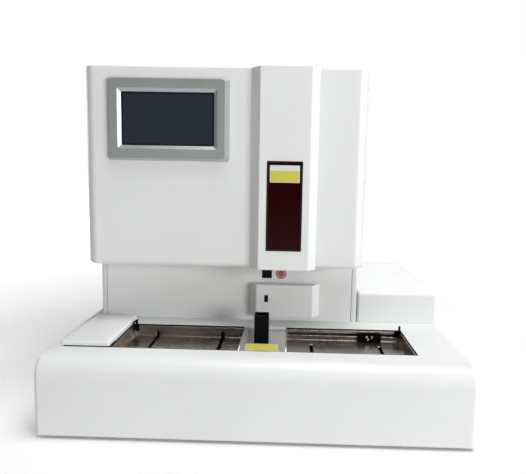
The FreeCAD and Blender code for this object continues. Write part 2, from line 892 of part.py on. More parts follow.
def rear_panel():
    g = cover_wall + seam
    y1 = cabinet_back - cover_wall
    x0, x1, z0, z1 = cabinet_left + g, cabinet_right - g, cabinet_z + g, cabinet_top - g
    corners = [Vector(x0, y1, z0), Vector(x1, y1, z0), Vector(x1, y1, z1), Vector(x0, y1, z1)]
    r = cabinet_low_radius - cover_wall
    plate = prism(corners, [r, r, 0, 0], Vector(0, -sheet, 0))
    x, z = fan_place()
    rings = []
    step = fan_bore_radius / 5
    for i in range(1, 5):
        ring = rod_y(x, y1 - sheet - tiny, y1 + tiny, z, step * (i + 0.8))
        rings.append(ring.cut(rod_y(x, y1 - sheet - tiny, y1 + tiny, z, step * i)))
    spoke = sheet * 2
    spokes = fuse([block(x - fan_bore_radius, x + fan_bore_radius, y1 - sheet * 2, y1 + sheet,
                         z - spoke / 2, z + spoke / 2),
                   block(x - spoke / 2, x + spoke / 2, y1 - sheet * 2, y1 + sheet,
                         z - fan_bore_radius, z + fan_bore_radius)])
    vents = []
    slot_long, slot_high = fan_side / 2, sheet * 2
    for row in range(8):
        for column in range(3):
            x0 = cabinet_right - fan_inset * 2 + column * slot_long * 1.25
            z0 = cabinet_z + fan_side / 2 + row * slot_high * 2.5
            vents.append(block(x0, x0 + slot_long, y1 - sheet - tiny, y1 + tiny, z0, z0 + slot_high))
    return cut(plate, [ring.cut(spokes) for ring in rings] + vents)


def display_bezel():
    z = display_z
    y_front = cabinet_front - bezel_proud
    wires = []
    for y, grow in ((cabinet_front, bezel_flare), (y_front, 0)):
        half_w, half_h = bezel_width / 2 + grow, bezel_height / 2 + grow / 2
        corners = [Vector(display_x - half_w, y, z - half_h), Vector(display_x + half_w, y, z - half_h),
                   Vector(display_x + half_w, y, z + half_h), Vector(display_x - half_w, y, z + half_h)]
        wires.append(rounded_wire(corners, [bezel_radius] * 4))
    outer = Part.makeLoft(wires, True, True)
    wires = []
    screen_y = y_front + bezel_recess
    for y, grow in ((y_front - tiny, bezel_step), (screen_y, 0)):
        half_w, half_h = screen_width / 2 + grow, screen_height / 2 + grow
        corners = [Vector(display_x - half_w, y, z - half_h), Vector(display_x + half_w, y, z - half_h),
                   Vector(display_x + half_w, y, z + half_h), Vector(display_x - half_w, y, z + half_h)]
        wires.append(rounded_wire(corners, [bezel_recess / 2] * 4))
    mouth = Part.makeLoft(wires, True, True)
    m = bezel_recess
    pocket = block(display_x - screen_width / 2 - m, display_x + screen_width / 2 + m, screen_y,
                   cabinet_front + overrun, z - screen_height / 2 - m, z + screen_height / 2 + m)
    return cut(outer, [mouth, pocket])


def display_span(margin):
    half_w, half_h = screen_width / 2 + margin, screen_height / 2 + margin
    return display_x - half_w, display_x + half_w, display_z - half_h, display_z + half_h


def touch_panel():
    x0, x1, z0, z1 = display_span(bezel_recess)
    y0 = cabinet_front - bezel_proud + bezel_recess
    return block(x0, x1, y0, y0 + panel_thickness, z0, z1)


def display_module():
    x0, x1, z0, z1 = display_span(bezel_recess - seam)
    y0 = cabinet_front - bezel_proud + bezel_recess + panel_thickness
    core = block(x0, x1, y0, y0 + module_depth, z0, z1)
    x0, x1, z0, z1 = display_span(bezel_recess * 3)
    y0 = cabinet_front + cover_wall
    return fuse([core, block(x0, x1, y0, y0 + bezel_recess, z0, z1)])


def column_prism(inset, back, z0, z1, radius):
    plan = bevelled_plan(column_left, column_right, column_front, door_back, column_bevel, inset, back)
    return prism([Vector(x, y, z0) for x, y in plan], [0, radius, radius, 0], Vector(0, 0, z1 - z0))


def window_box(margin, y0, y1):
    x0 = column_left + window_side_gap
    z0 = cabinet_z + window_low_gap
    return block(x0 - margin, x0 + window_width + margin, y0, y1, z0 - margin, z0 + window_height + margin)


def column_door():
    w = column_wall
    outer = column_prism(0, door_back, cabinet_z, cabinet_top, column_edge_radius * 2)
    front_top = [e for e in edges_at_z(outer, cabinet_top) if e.BoundBox.YMax < door_back - tiny * 2
                 or e.BoundBox.YMin < door_back - tiny * 2]
    outer = outer.makeFillet(column_edge_radius, front_top)
    inner = column_prism(w, door_back + overrun, cabinet_z - overrun, cabinet_top - w, column_edge_radius)
    shell = cut(outer, [inner, window_box(0, column_front - overrun, column_front + w + overrun)])
    x, y = door_axis()
    r = door_bead_radius
    angle = door_foot_angle()
    reach = r + overrun
    beyond = [Vector(x, y, cabinet_z - tiny),
              Vector(x + reach * math.sin(angle), y - reach * math.cos(angle), cabinet_z - tiny),
              Vector(column_right + column_bevel + overrun, door_back + overrun, cabinet_z - tiny),
              Vector(x, door_back + overrun, cabinet_z - tiny)]
    trim = prism(beyond, [0] * 4, Vector(0, 0, cabinet_height + tiny * 2))
    trim = trim.cut(rod_up(x, y, cabinet_z - overrun, cabinet_top + overrun, r))
    bead = rod_up(x, y, cabinet_z, cabinet_top - column_edge_radius, r)
    shape = fuse([shell.cut(trim), bead])
    cuts = []
    for z in door_ear_zs():
        z1 = z + door_ear_length
        g = r + seam
        cuts.append(rod_up(x, y, z - seam, z1 + seam, g))
        cuts.append(block(x - g, x + g, y, door_back + overrun, z - seam, z1 + seam))
        cuts.append(rod_up(x, y, z - door_pin_reach - seam, z1 + door_pin_reach + seam,
                           door_pin_radius + shaft_gap))
    return cut(shape, cuts)


def door_window():
    g = gasket_width
    y1 = column_front + column_wall
    return window_box(-g, y1 - window_thickness, y1)


def window_gasket():
    g = gasket_width
    y0 = column_front - gasket_proud
    y1 = column_front + column_wall
    frame = window_box(0, y0, y1).cut(window_box(-g, y0 - overrun, y1 + overrun))
    lip = gasket_width / 2
    ledge = window_box(-g, column_front, y1 - window_thickness).cut(
        window_box(-g - lip, column_front - overrun, y1 + overrun))
    return fuse([frame, ledge])


def left_lid():
    """A flat lid with a round nose along its hinge side, hollow underneath."""
    x0, x1 = lid_left, well_left
    y0, y1 = well_front, well_front + lid_length
    z0 = deck_z + seam
    z1 = z0 + hinge_bead * 2
    r = lid_edge_radius
    corners = [Vector(x0, y0, z0), Vector(x1, y0, z0), Vector(x1, y0, z1), Vector(x0, y0, z1)]
    outer = prism(corners, [hinge_bead - tiny, 0, r, hinge_bead - tiny], Vector(0, y1 - y0, 0))
    ends = [e for e in outer.Edges if e.BoundBox.YMax - e.BoundBox.YMin < tiny and e.BoundBox.ZMax > z0 + r
            and e.BoundBox.XMin > x0 + hinge_bead - tiny * 2]
    outer = outer.makeFillet(lid_end_radius, ends)
    x, z = lid_axis()
    w = lid_wall
    inner = block(x + hinge_bead + w, x1 - w, y0 + w, y1 - w, z0 - overrun, z1 - w)
    cuts = [inner]
    for y in lid_lug_ys():
        cuts.append(block(x0 - overrun, x + hinge_bead + seam, y - seam, y + hinge_lug_width + seam,
                          z0 - overrun, z1 + overrun))
        reach = hinge_pin_reach + seam
        cuts.append(rod_y(x, y - reach, y + hinge_lug_width + reach, z, hinge_pin_radius + shaft_gap))
    return cut(outer, cuts)


def right_cover():
    w = cover_skin
    z0 = deck_z + seam
    outer = hood(cover_left, base_right, neck_front, cover_back, z0, cover_top, cover_nose_radius,
                 cover_edge_radius)
    inner = hood(cover_left + w, base_right - w, neck_front + w, cover_back - w, z0 - overrun,
                 cover_top - w, cover_nose_radius - w, cover_edge_radius - w)
    y, z = cover_axis()
    trim = block(cover_left - overrun, base_right + overrun, y, cover_back + overrun, z0 - overrun, z)
    x0, x1 = cover_left + cover_edge_radius, base_right - cover_edge_radius
    bead = rod_x(x0, x1, y, z, hinge_bead)
    shell = cut(outer, [inner, trim])
    shape = fuse([shell, bead])
    bores = []
    for x in cover_lug_xs():
        a, b = x - seam, x + hinge_lug_width + seam
        bores.append(block(a, b, y - hinge_bead - seam, cover_back + overrun, z0 - overrun,
                           z + hinge_bead + seam))
        bores.append(rod_x(a - hinge_pin_reach, b + hinge_pin_reach, y, z, hinge_pin_radius + shaft_gap))
    return cut(shape, bores + [strip_pass(cover_left - overrun, cover_left + w + overrun)])


def drum_place():
    return cover_left + drum_left_gap, bed_z + comb_tooth_rise + drum_gap + drum_radius


def strip_hopper():
    """Two end plates on the deck, a floor that slopes to the drum and a guard on its far side."""
    t = sheet
    x, z = drum_place()
    x0 = cover_left + hopper_left_gap
    x1 = base_right - hopper_right_gap
    ends = [block(x0, x1, y, y + t, deck_z, deck_z + hopper_height) for y in (bed_front - t, bed_back)]
    low = Vector(x + drum_radius + drum_gap, bed_front, z - drum_radius / 2)
    high = Vector(x1 - t, bed_front, low.z + hopper_floor_rise)
    down = Vector(0, 0, -t)
    floor = prism([low, high, high + down, low + down], [0] * 4, Vector(0, bed_width, 0))
    top = deck_z + hopper_height
    stop = block(x1 - t, x1, bed_front, bed_back, high.z - t, top)
    guard_x = x - drum_radius - drum_gap
    guard = block(guard_x - t, guard_x, bed_front, bed_back, z, top)
    bore = rod_y(x, bed_front - t - overrun, bed_back + t + overrun, z, drum_shaft_radius + shaft_gap)
    return fuse(ends + [floor, stop, guard]).cut(bore)


def feeder_drum():
    x, z = drum_place()
    g = seam * 2
    drum = rod_y(x, bed_front + g, bed_back - g, z, drum_radius)
    tools = []
    half = drum_groove_width / 2
    for i in range(drum_grooves):
        tool = block(x - half, x + half, bed_front, bed_back, z + drum_radius - drum_groove_depth,
                     z + drum_radius * 2)
        tool.rotate(Vector(x, 0, z), Vector(0, 1, 0), 360.0 * i / drum_grooves)
        tools.append(tool)
    drum = drum.cut(Part.makeCompound(tools))
    shaft = rod_y(x, bed_front - sheet + seam, bed_back + sheet - seam, z, drum_shaft_radius)
    return fuse([drum, shaft])


def guide_rods():
    rods = []
    for x in load_rod_xs() + unload_rod_xs():
        rods.append(rod_y(x, transport_front, transport_back, rod_z, rod_radius))
    ear0, ear1 = shuttle_ear_xs()
    rods.append(rod_x(ear0 + bracket_width, ear1, well_back + shuttle_rod_setback, shuttle_rod_z(),
                      shuttle_rod_radius))
    first, last = traverse_holder_faces()
    for x in traverse_rod_xs():
        rods.append(rod_y(x, first + holder_thickness, last, traverse_rod_z, rod_radius))
    return Part.makeCompound(rods)


def load_rod_xs():
    a, b = load_slot_xs()
    return a + rod_inset, b - rod_inset


def unload_rod_xs():
    a, b = unload_slot_xs()
    return a + rod_inset, b - rod_inset


def pusher(slot_xs, rod_xs):
    a, b = slot_xs
    y0 = well_front + finger_slot_front_gap + pusher_front_gap - finger_length / 2
    y_mid = y0 + finger_length / 2
    bar = block(a - pusher_bar_over, b + pusher_bar_over, y_mid - pusher_bar_width / 2,
                y_mid + pusher_bar_width / 2, rod_z - pusher_bar_height / 2, rod_z + pusher_bar_height / 2)
    fingers = [plan_prism(x - finger_width / 2, x + finger_width / 2, y0, y0 + finger_length,
                          rod_z, well_floor + finger_rise, finger_width / 4, finger_width / 4)
               for x in slot_xs]
    middle = (a + b) / 2
    clamp = block(middle - belt_width, middle + belt_width, y_mid - pusher_bar_width / 2,
                  y_mid + pusher_bar_width / 2, rod_z - belt_drop + belt_thickness + seam, rod_z)
    bores = [rod_y(x, y0 - overrun * 2, y0 + finger_length + overrun * 2, rod_z, rod_radius + shaft_gap)
             for x in rod_xs]
    return cut(fuse([bar, clamp] + fingers), bores)


def load_pusher():
    return pusher(load_slot_xs(), load_rod_xs())


def unload_pusher():
    return pusher(unload_slot_xs(), unload_rod_xs())


def belt_middle_z():
    return rod_z - belt_drop + belt_thickness - pulley_radius


def belt_runs():
    """Each belt's X and height, and the Y of its idler and of its motor pulley."""
    runs = []
    for xs in (load_slot_xs(), unload_slot_xs()):
        runs.append((sum(xs) / 2, belt_middle_z(), transport_front + idler_wall + pulley_radius,
                     transport_back - motor_side / 2))
    first, last = traverse_holder_faces()
    runs.append((lift_plate_left + lift_plate_width / 2,
                 traverse_rod_z - traverse_block_height / 2 - seam - pulley_radius,
                 first + holder_thickness / 2, last + holder_thickness + motor_side / 2))
    return runs


def belt_outline(x, z, y0, y1, radius):
    corners = [Vector(x, y0 - radius, z - radius), Vector(x, y1 + radius, z - radius),
               Vector(x, y1 + radius, z + radius), Vector(x, y0 - radius, z + radius)]
    return prism(corners, [radius - tiny] * 4, Vector(belt_width, 0, 0))


def drive_belts():
    """Flat closed belts, each round its idler and its motor's pulley."""
    belts = []
    for x, z, y0, y1 in belt_runs():
        outer = belt_outline(x - belt_width / 2, z, y0, y1, pulley_radius)
        belts.append(outer.cut(belt_outline(x - belt_width / 2, z, y0, y1, pulley_radius - belt_thickness)))
    return Part.makeCompound(belts)


def idler(run):
    """A fixed pulley on a pin, with the face of its lug on the left."""
    x, z, y, y1 = run
    half = belt_width / 2
    wheel = rod_x(x - half, x + half, y, z, pulley_radius - belt_thickness - tiny)
    return wheel.fuse(rod_x(x - half - pulley_gap, x - half, y, z, idler_pin_radius))


def idler_lug(run, y0, y1, z0, z1):
    x = run[0] - belt_width / 2 - pulley_gap
    return block(x - idler_wall, x, y0, y1, z0, z1)


def stepper(x0, x1, y0, y1, z0, z1, along):
    body = block(x0, x1, y0, y1, z0, z1)
    spans = {"x": "XMin XMax", "y": "YMin YMax", "z": "ZMin ZMax"}[along].split()
    edges = [e for e in body.Edges
             if getattr(e.BoundBox, spans[1]) - getattr(e.BoundBox, spans[0]) > motor_radius]
    return body.makeFillet(motor_radius, edges)


def stepper_motors():
    s = motor_side / 2
    motors = []
    for x, z, y0, y in belt_runs():
        face = x + belt_width / 2 + pulley_gap
        body = stepper(face, face + motor_length, y - s, y + s, z - s, z + s, "x")
        pulley = rod_x(x - belt_width / 2, x + belt_width / 2, y, z, pulley_radius - belt_thickness - tiny)
        shaft = rod_x(x + belt_width / 2, face, y, z, idler_pin_radius)
        motors.append(fuse([body, pulley, shaft]))
    x, z = drum_place()
    y0 = bed_back + sheet
    motors.append(stepper(x - s, x + s, y0, y0 + motor_length, z - s, z + s, "y"))
    return Part.makeCompound(motors)


def shuttle_block_left():
    return well_right - shuttle_block_right_gap - shuttle_block_width


def cross_shuttle():
    x0 = shuttle_block_left()
    y1 = well_back - tray_ledge - seam * 2
    z0 = well_floor + seam * 2
    front = block(x0, x0 + shuttle_block_width, y1 - shuttle_block_depth, y1, z0, z0 + shuttle_block_height)
    slot_z = well_floor + shuttle_slot_rise + shuttle_slot_height / 2
    mid = x0 + shuttle_block_width / 2
    half = shuttle_car_width / 2
    y2 = well_back + thin_sheet + seam * 2
    tongue = block(mid - half, mid + half, y1 - tiny, y2 + tiny, slot_z - shuttle_tongue / 2,
                   slot_z + shuttle_tongue / 2)
    tongue = tongue.cut(block(mid - half - overrun, mid + half + overrun, y1 - overrun, y2 + overrun,
                              z0 + shuttle_block_height, slot_z + shuttle_tongue))
    z_rod = shuttle_rod_z()
    car = block(mid - half, mid + half, y2, y2 + shuttle_car_depth,
                z_rod - shuttle_rod_radius * 1.5, slot_z + shuttle_tongue / 2)
    bore = rod_x(mid - half - overrun, mid + half + overrun, well_back + shuttle_rod_setback, z_rod,
                 shuttle_rod_radius + shaft_gap)
    return fuse([front, tongue, car]).cut(bore)


def wash_block():
    """The rinse block under the column, with the bar that holds it across the opening."""
    x0 = needle_x - wash_needle_gap
    y0 = needle_y - wash_needle_gap
    z0 = cabinet_z - wash_drop
    z1 = cabinet_z + wash_rise
    body = plan_prism(x0, x0 + wash_width, y0, y0 + wash_depth, z0, z1, arm_nose / 2, arm_nose / 2)
    bar = block(corridor_left, corridor_right, cabinet_front, cabinet_front + cover_wall,
                cabinet_z + cover_wall, z1)
    bore = rod_up(needle_x, needle_y, z0 - overrun, z1 + overrun, needle_radius + wash_bore_gap)
    return fuse([body, bar]).cut(bore)


def lift_plate():
    x0 = lift_plate_left
    x1 = x0 + lift_plate_width
    y0 = lift_face
    y1 = y0 + lift_plate_thickness
    plate = plate_y(x0, x1, y0, y1, lift_low, lift_top, motor_radius)
    sx, sy = lift_screw_place()
    s = lift_motor_side / 2
    bracket_z = lift_motor_z() - sheet * 2
    bracket = block(sx - s, x1, sy - s, y0, bracket_z, bracket_z + sheet * 2)
    foot = block(sx - nut_width / 2, x1, sy - nut_width / 3, y0, lift_low, lift_low + screw_bearing_height)
    cuts = [rod_up(sx, sy, lift_low + sheet, lift_top, lift_screw_radius + shaft_gap)]
    for x in traverse_rod_xs():
        cuts.append(rod_y(x, y0 - overrun, y1 + overrun, traverse_rod_z, rod_radius + slot_gap))
    x, z = belt_runs()[2][:2]
    cuts.append(block(x - belt_width, x + belt_width, y0 - overrun, y1 + overrun,
                      z - pulley_radius * 1.5, z + pulley_radius * 1.5))
    return cut(fuse([plate, bracket, foot]), cuts)


def lift_screw_place():
    return lift_plate_left + lift_screw_left_gap, lift_face - lift_motor_side / 2 - seam


def lift_motor_z():
    return traverse_rod_z - traverse_block_height / 2 - lift_motor_length - sheet * 3


def lift_motor():
    x, y = lift_screw_place()
    s = lift_motor_side / 2
    z = lift_motor_z()
    body = stepper(x - s, x + s, y - s, y + s, z, z + lift_motor_length, "z")
    return body.cut(rod_up(x, y, z - overrun, z + screw_socket, lift_screw_radius + shaft_gap))


def lift_screw():
    x, y = lift_screw_place()
    z0 = lift_low + sheet + seam
    return rod_up(x, y, z0, lift_motor_z() + screw_socket - seam, lift_screw_radius)


def rail_span():
    x0 = lift_plate_left + rail_left_gap
    return x0, x0 + rail_width


def lift_rail():
    x0, x1 = rail_span()
    y0 = lift_face - rail_depth
    body = block(x0, x1, y0, lift_face, lift_low + rail_margin, lift_motor_z() - rail_margin)
    mid = y0 + rail_depth / 2
    g = rail_depth / 8
    z0, z1 = lift_low, lift_motor_z()
    grooves = [block(x0 - overrun, x0 + g, mid - g, mid + g, z0, z1),
               block(x1 - g, x1 + overrun, mid - g, mid + g, z0, z1)]
    return cut(body, grooves)


def carriage_z():
    return needle_tip + arm_rise - (carriage_height - arm_thickness) / 2


def lift_carriage():
    r0, r1 = rail_span()
    mid = (r0 + r1) / 2
    half = carriage_width / 2
    y1 = lift_face - seam * 3
    y0 = y1 - carriage_depth
    z0 = carriage_z()
    z1 = z0 + carriage_height
    body = block(mid - half, mid + half, y0, y1, z0, z1)
    sx, sy = lift_screw_place()
    nut_z = z0 + (carriage_height - nut_height) / 2
    nut = block(mid, sx + nut_width / 3, y0, y1, nut_z, nut_z + nut_height)
    groove = block(r0 - seam, r1 + seam, lift_face - rail_depth - seam, y1 + overrun, z0 - overrun,
                   z1 + overrun)
    bore = rod_up(sx, sy, z0, z1, lift_screw_radius + shaft_gap)
    return cut(fuse([body, nut]), [groove, bore])


def probe_arm():
    """A flat bracket from the carriage to the needle, bent forward at its left end."""
    r0, r1 = rail_span()
    z0 = needle_tip + arm_rise
    z1 = z0 + arm_thickness
    y1 = lift_face - seam * 3 - carriage_depth
    y0 = y1 - arm_bar
    x0 = needle_x - arm_width / 2
    back = block(x0, r1 + seam, y0, y1, z0, z1)
    reach = block(x0, x0 + arm_width, needle_y, y1, z0, z1)
    nose = rod_up(needle_x, needle_y, z0, z1, arm_width / 2)
    nose = nose.common(block(x0, x0 + arm_width, needle_y - arm_nose, y1, z0, z1))
    return cut(fuse([back, reach, nose]), [rod_up(needle_x, needle_y, z0 - tiny, z1 + tiny, needle_radius)])


def probe_needle():
    top = needle_tip + needle_length
    z = needle_tip + arm_rise + arm_thickness
    tip = Part.makeCone(needle_radius / 2, needle_radius, needle_radius * 3,
                        Vector(needle_x, needle_y, needle_tip))
    shaft = rod_up(needle_x, needle_y, needle_tip + needle_radius * 3, top, needle_radius)
    barb = rod_up(needle_x, needle_y, z, top - needle_radius * 2, needle_radius * 2)
    return fuse([tip, shaft, barb])


def traverse_block():
    x0 = lift_plate_left
    y0 = lift_face + lift_plate_thickness
    h = traverse_block_height / 2
    body = block(x0, x0 + lift_plate_width, y0, y0 + traverse_block_length, traverse_rod_z - h,
                 traverse_rod_z + h)
    bores = [rod_y(x, y0 - overrun, y0 + traverse_block_length + overrun, traverse_rod_z,
                   rod_radius + shaft_gap) for x in traverse_rod_xs()]
    return cut(body, bores)


def bed_span():
    return web_left + sheet, drum_place()[0] + drum_radius


def comb_tooth_xs():
    first = bed_span()[1] - comb_right_gap - comb_pitch * (comb_teeth - 1)
    return [first + comb_pitch * i for i in range(comb_teeth)]


def comb_bar_ys():
    middle = (bed_front + bed_back) / 2
    return middle - comb_bar_spacing / 2, middle + comb_bar_spacing / 2


def comb_bar_block(y, margin):
    """One of the comb's square bars, or with a margin the way that it slides in."""
    a, b = comb_ends()
    half = comb_bar / 2 + margin
    z = bed_z - sheet - comb_drop
    return block(a, b, y - half, y + half, z - half, z + half)


def comb_ends():
    xs = comb_tooth_xs()
    return xs[0] - comb_overhang, xs[-1] + comb_overhang


def strip_bed():
    x0, x1 = bed_span()
    y0, y1 = bed_front, bed_back
    t = sheet
    under = bed_z - t
    pieces = [block(x0, x1, y0, y1, under, bed_z)]
    pieces += [block(x0, x1, y, y + t, bed_low, under) for y in (y0, y1 - t)]
    low = under - comb_drop - comb_bar / 2 - t
    for tooth in (comb_tooth_xs()[0], comb_tooth_xs()[-1]):
        x = tooth - guide_gap
        pieces.append(block(x - guide_width, x, y0 + guide_edge, y1 - guide_edge, low, under))
    for y in (y0, y1 - bed_leg_width):
        pieces.append(block(cabinet_right - deck_rim, cabinet_right + deck_rim, y, y + bed_leg_width,
                            deck_z, under))
    cuts = []
    for y in comb_bar_ys():
        cuts.append(comb_bar_block(y, shaft_gap))
        for x in comb_tooth_xs():
            cuts.append(block(x - slot_gap, x + comb_slot_length, y - comb_slot_width / 2,
                              y + comb_slot_width / 2, under - tiny, bed_z + tiny))
    return cut(fuse(pieces), cuts)


def strip_comb():
    a, b = comb_ends()
    z = bed_z - sheet - comb_drop
    y0, y1 = comb_bar_ys()
    middle = (a + b) / 2
    pieces = [block(middle, middle + guide_width, y0, y1, z - comb_bar / 4, z + comb_bar / 4)]
    for y in (y0, y1):
        pieces.append(comb_bar_block(y, 0))
        for x in comb_tooth_xs():
            pieces.append(block(x, x + comb_tooth, y - comb_tooth / 2, y + comb_tooth / 2, z,
                                bed_z + comb_tooth_rise))
    return fuse(pieces)


def reading_head():
    x0 = bed_span()[0] + head_left_gap
    y0, y1 = bed_front, bed_back
    z0 = bed_z + head_clearance
    body = block(x0, x0 + head_width, y0, y1, z0, z0 + head_height)
    body = body.makeFillet(motor_radius, edges_at_z(body, z0 + head_height))
    lens = Part.makeCone(head_width / 4, head_width / 5, head_clearance / 3,
                         Vector(x0 + head_width / 2, (y0 + y1) / 2, z0 - head_clearance / 3))
    legs = [block(x0, x0 + head_width, y, y + head_leg, bed_z, z0) for y in (y0, y1 - head_leg)]
    return fuse([body, lens] + legs)


def power_supply():
    x0 = cabinet_left + psu_left_gap
    y1 = back_y - psu_back_gap
    top = pan_z + psu_height
    body = block(x0, x0 + psu_width, y1 - psu_length, y1, pan_z, top)
    m = psu_slot_margin
    step = (psu_width - m * 2) / (psu_slots - 1)
    slots = []
    for i in range(psu_slots):
        x = x0 + m + step * i
        slots.append(block(x - psu_slot_width / 2, x + psu_slot_width / 2, y1 - psu_length + m, y1 - m,
                           top - sheet, top + overrun))
    return cut(body, slots)


def pump_place():
    return web_left + pump_left_gap + pump_head_radius, back_y - pump_back_gap, pan_z + pump_rise


def pump_body():
    x, y, z = pump_place()
    r = pump_head_radius
    ring = rod_y(x, y - pump_head_depth, y, z, r)
    room = rod_y(x, y - pump_head_depth - tiny, y - pump_wall, z, r - pump_wall)
    motor = rod_y(x, y, y + pump_motor_length, z, pump_motor_radius)
    foot = block(x - r, x + r, y - pump_wall, y + pump_wall, pan_z, z)
    foot = foot.cut(rod_y(x, y - pump_head_depth, y - pump_wall, z, r))
    toe = block(x - r, x + r, y - pump_wall, y + pump_head_depth, pan_z, pan_z + sheet)
    bore = rod_y(x, y - pump_wall - tiny, y + pump_wall, z, pump_shaft_radius + shaft_gap)
    return cut(fuse([ring, motor, foot, toe]), [room, bore])


def pump_rotor():
    x, y, z = pump_place()
    depth = pump_head_depth - pump_wall - seam
    y0 = y - pump_head_depth + seam
    orbit = pump_head_radius - pump_wall * 2 - pump_roller_radius
    parts = [rod_y(x, y0, y + pump_wall - seam, z, pump_shaft_radius)]
    parts.append(rod_y(x, y0, y0 + depth / 4, z, orbit + pump_roller_radius / 2))
    for i in range(3):
        angle = math.radians(90.0 + 120.0 * i)
        parts.append(rod_y(x + orbit * math.cos(angle), y0 + depth / 8, y0 + depth - seam,
                           z + orbit * math.sin(angle), pump_roller_radius))
    return fuse(parts)


def board_corner():
    return web_left + board_left_gap, front_y + board_setback, shelf_z + sheet + board_standoff


def control_board():
    x, y, z = board_corner()
    t = board_thickness
    parts = [block(x, x + board_width, y, y + board_length, z, z + t)]
    s = board_standoff / 2
    for px in (x + s * 2, x + board_width - s * 2):
        for py in (y + s * 2, y + board_length - s * 2):
            parts.append(rod_up(px, py, z - board_standoff, z, s))
    chip = chip_size
    parts.append(block(x + chip * 2, x + chip * 3, y + chip * 2, y + chip * 3, z + t, z + t * 2))
    parts.append(block(x + chip * 4, x + chip * 4 + big_chip_width, y + chip * 2, y + chip * 3, z + t,
                       z + big_chip_height))
    for i in range(5):
        px = x + chip * (i + 1)
        parts.append(block(px, px + chip / 2, y + board_length - chip / 2, y + board_length, z + t,
                           z + t + board_standoff))
        parts.append(rod_up(px + chip / 4, y + chip / 2, z + t, z + t + board_standoff, board_standoff / 2))
    return fuse(parts)


def fan_frame():
    x, z = fan_place()
    half = fan_side / 2
    y1 = cabinet_back - cover_wall - sheet
    y0 = y1 - fan_depth
    body = plate_y(x - half, x + half, y0, y1, z - half, z + half, motor_radius)
    body = body.cut(rod_y(x, y0 - tiny, y1 + tiny, z, fan_bore_radius))
    arm = sheet * 2
    arms = [block(x - fan_bore_radius - sheet, x + fan_bore_radius + sheet, y1 - arm, y1,
                  z - arm / 2, z + arm / 2),
            block(x - arm / 2, x + arm / 2, y1 - arm, y1, z - fan_bore_radius - sheet,
                  z + fan_bore_radius + sheet)]
    hub = rod_y(x, y1 - arm, y1, z, fan_hub_radius)
    bore = rod_y(x, y0, y1 - sheet, z, fan_shaft_radius + shaft_gap)
    return fuse([body, hub] + arms).cut(bore)


def fan_rotor():
    x, z = fan_place()
    y1 = cabinet_back - cover_wall - sheet
    arm = sheet * 2
    y0 = y1 - fan_depth + seam
    y2 = y1 - arm - seam
    hub = rod_y(x, y0, y2, z, fan_hub_radius)
    tip = rod_y(x, y0, y2, z, fan_bore_radius - seam * 3)
    depth = (y2 - y0) * 0.9
    blades = []
    for i in range(fan_blades):
        blade = block(x - fan_blade_thickness / 2, x + fan_blade_thickness / 2, (y0 + y2) / 2 - depth,
                      (y0 + y2) / 2 + depth, z + fan_hub_radius * 0.8, z + fan_bore_radius * 1.2)
        blade.rotate(Vector(x, (y0 + y2) / 2, z), Vector(0, 0, 1), fan_pitch_angle)
        blade.rotate(Vector(x, y0, z), Vector(0, 1, 0), 360.0 * i / fan_blades)
        blades.append(blade.common(tip))
    shaft = rod_y(x, y2 - tiny, y1 - sheet - seam, z, fan_shaft_radius)
    return fuse([hub, shaft] + blades)


def io_span():
    x0 = base_left + io_inset
    z0 = foot_height + io_rise
    return x0, x0 + io_width, z0, z0 + io_height


def connector_plate():
    """A shallow tray behind the opening in the cover, so that nothing stands out at the back."""
    x0, x1, z0, z1 = io_span()
    t = thin_sheet
    y1 = back_y - cover_wall
    flange = block(x0 - io_rim, x1 + io_rim, y1 - t, y1, z0 - io_rim, z1 + io_rim)
    box = block(x0 - t, x1 + t, io_face - sheet, y1, z0 - t, z1 + t)
    room = block(x0, x1, io_face, y1 + overrun, z0, z1)
    holes = [room, inlet_box(seam, io_face - overrun, io_face + overrun)]
    for x, z, w, h in port_places():
        holes.append(block(x, x + w, io_face - overrun, io_face + overrun, z, z + h))
    for x, z in barb_places():
        holes.append(rod_y(x, io_face - overrun, io_face + overrun, z, barb_stem_radius + shaft_gap))
    return cut(fuse([flange, box]), holes)


def inlet_box(margin, y0, y1):
    x0, x1, z0, z1 = io_span()
    x = x0 + port_gap
    z = (z0 + z1 - inlet_height) / 2
    return block(x - margin, x + inlet_width + margin, y0, y1, z - margin, z + inlet_height + margin)


def rocker_place():
    x0, x1, z0, z1 = io_span()
    x = x0 + port_gap + inlet_width - rocker_width / 2 - port_gap / 2
    return x, io_face + inlet_face / 2 - rocker_height / 4, (z0 + z1) / 2


def power_inlet():
    """The mains inlet and the frame of its switch, one moulding with a thin face."""
    y1 = io_face
    body = inlet_box(0, y1 - inlet_depth, y1 + inlet_face)
    face = inlet_box(port_gap / 4, y1, y1 + inlet_face)
    x0, x1, z0, z1 = io_span()
    x = x0 + port_gap * 1.4
    z = (z0 + z1) / 2
    w, h = inlet_width / 2.2, inlet_height * 0.62
    mouth = block(x, x + w, y1 - inlet_depth * 0.7, y1 + overrun, z - h / 2, z + h / 2)
    pins = [block(x + w * s - sheet / 2, x + w * s + sheet / 2, y1 - inlet_depth * 0.7, y1 - sheet,
                  z - sheet, z + sheet) for s in (0.25, 0.5, 0.75)]
    rx, ry, rz = rocker_place()
    g = seam
    well = block(rx - rocker_width / 2 - g, rx + rocker_width / 2 + g, y1 - inlet_depth * 0.7,
                 y1 + overrun, rz - rocker_height / 2 - g, rz + rocker_height / 2 + g)
    bearing = rod_x(rx - rocker_width / 2 - sheet, rx + rocker_width / 2 + sheet, ry, rz,
                    rocker_pin_radius + shaft_gap)
    return fuse([cut(fuse([body, face]), [mouth, well, bearing])] + pins)


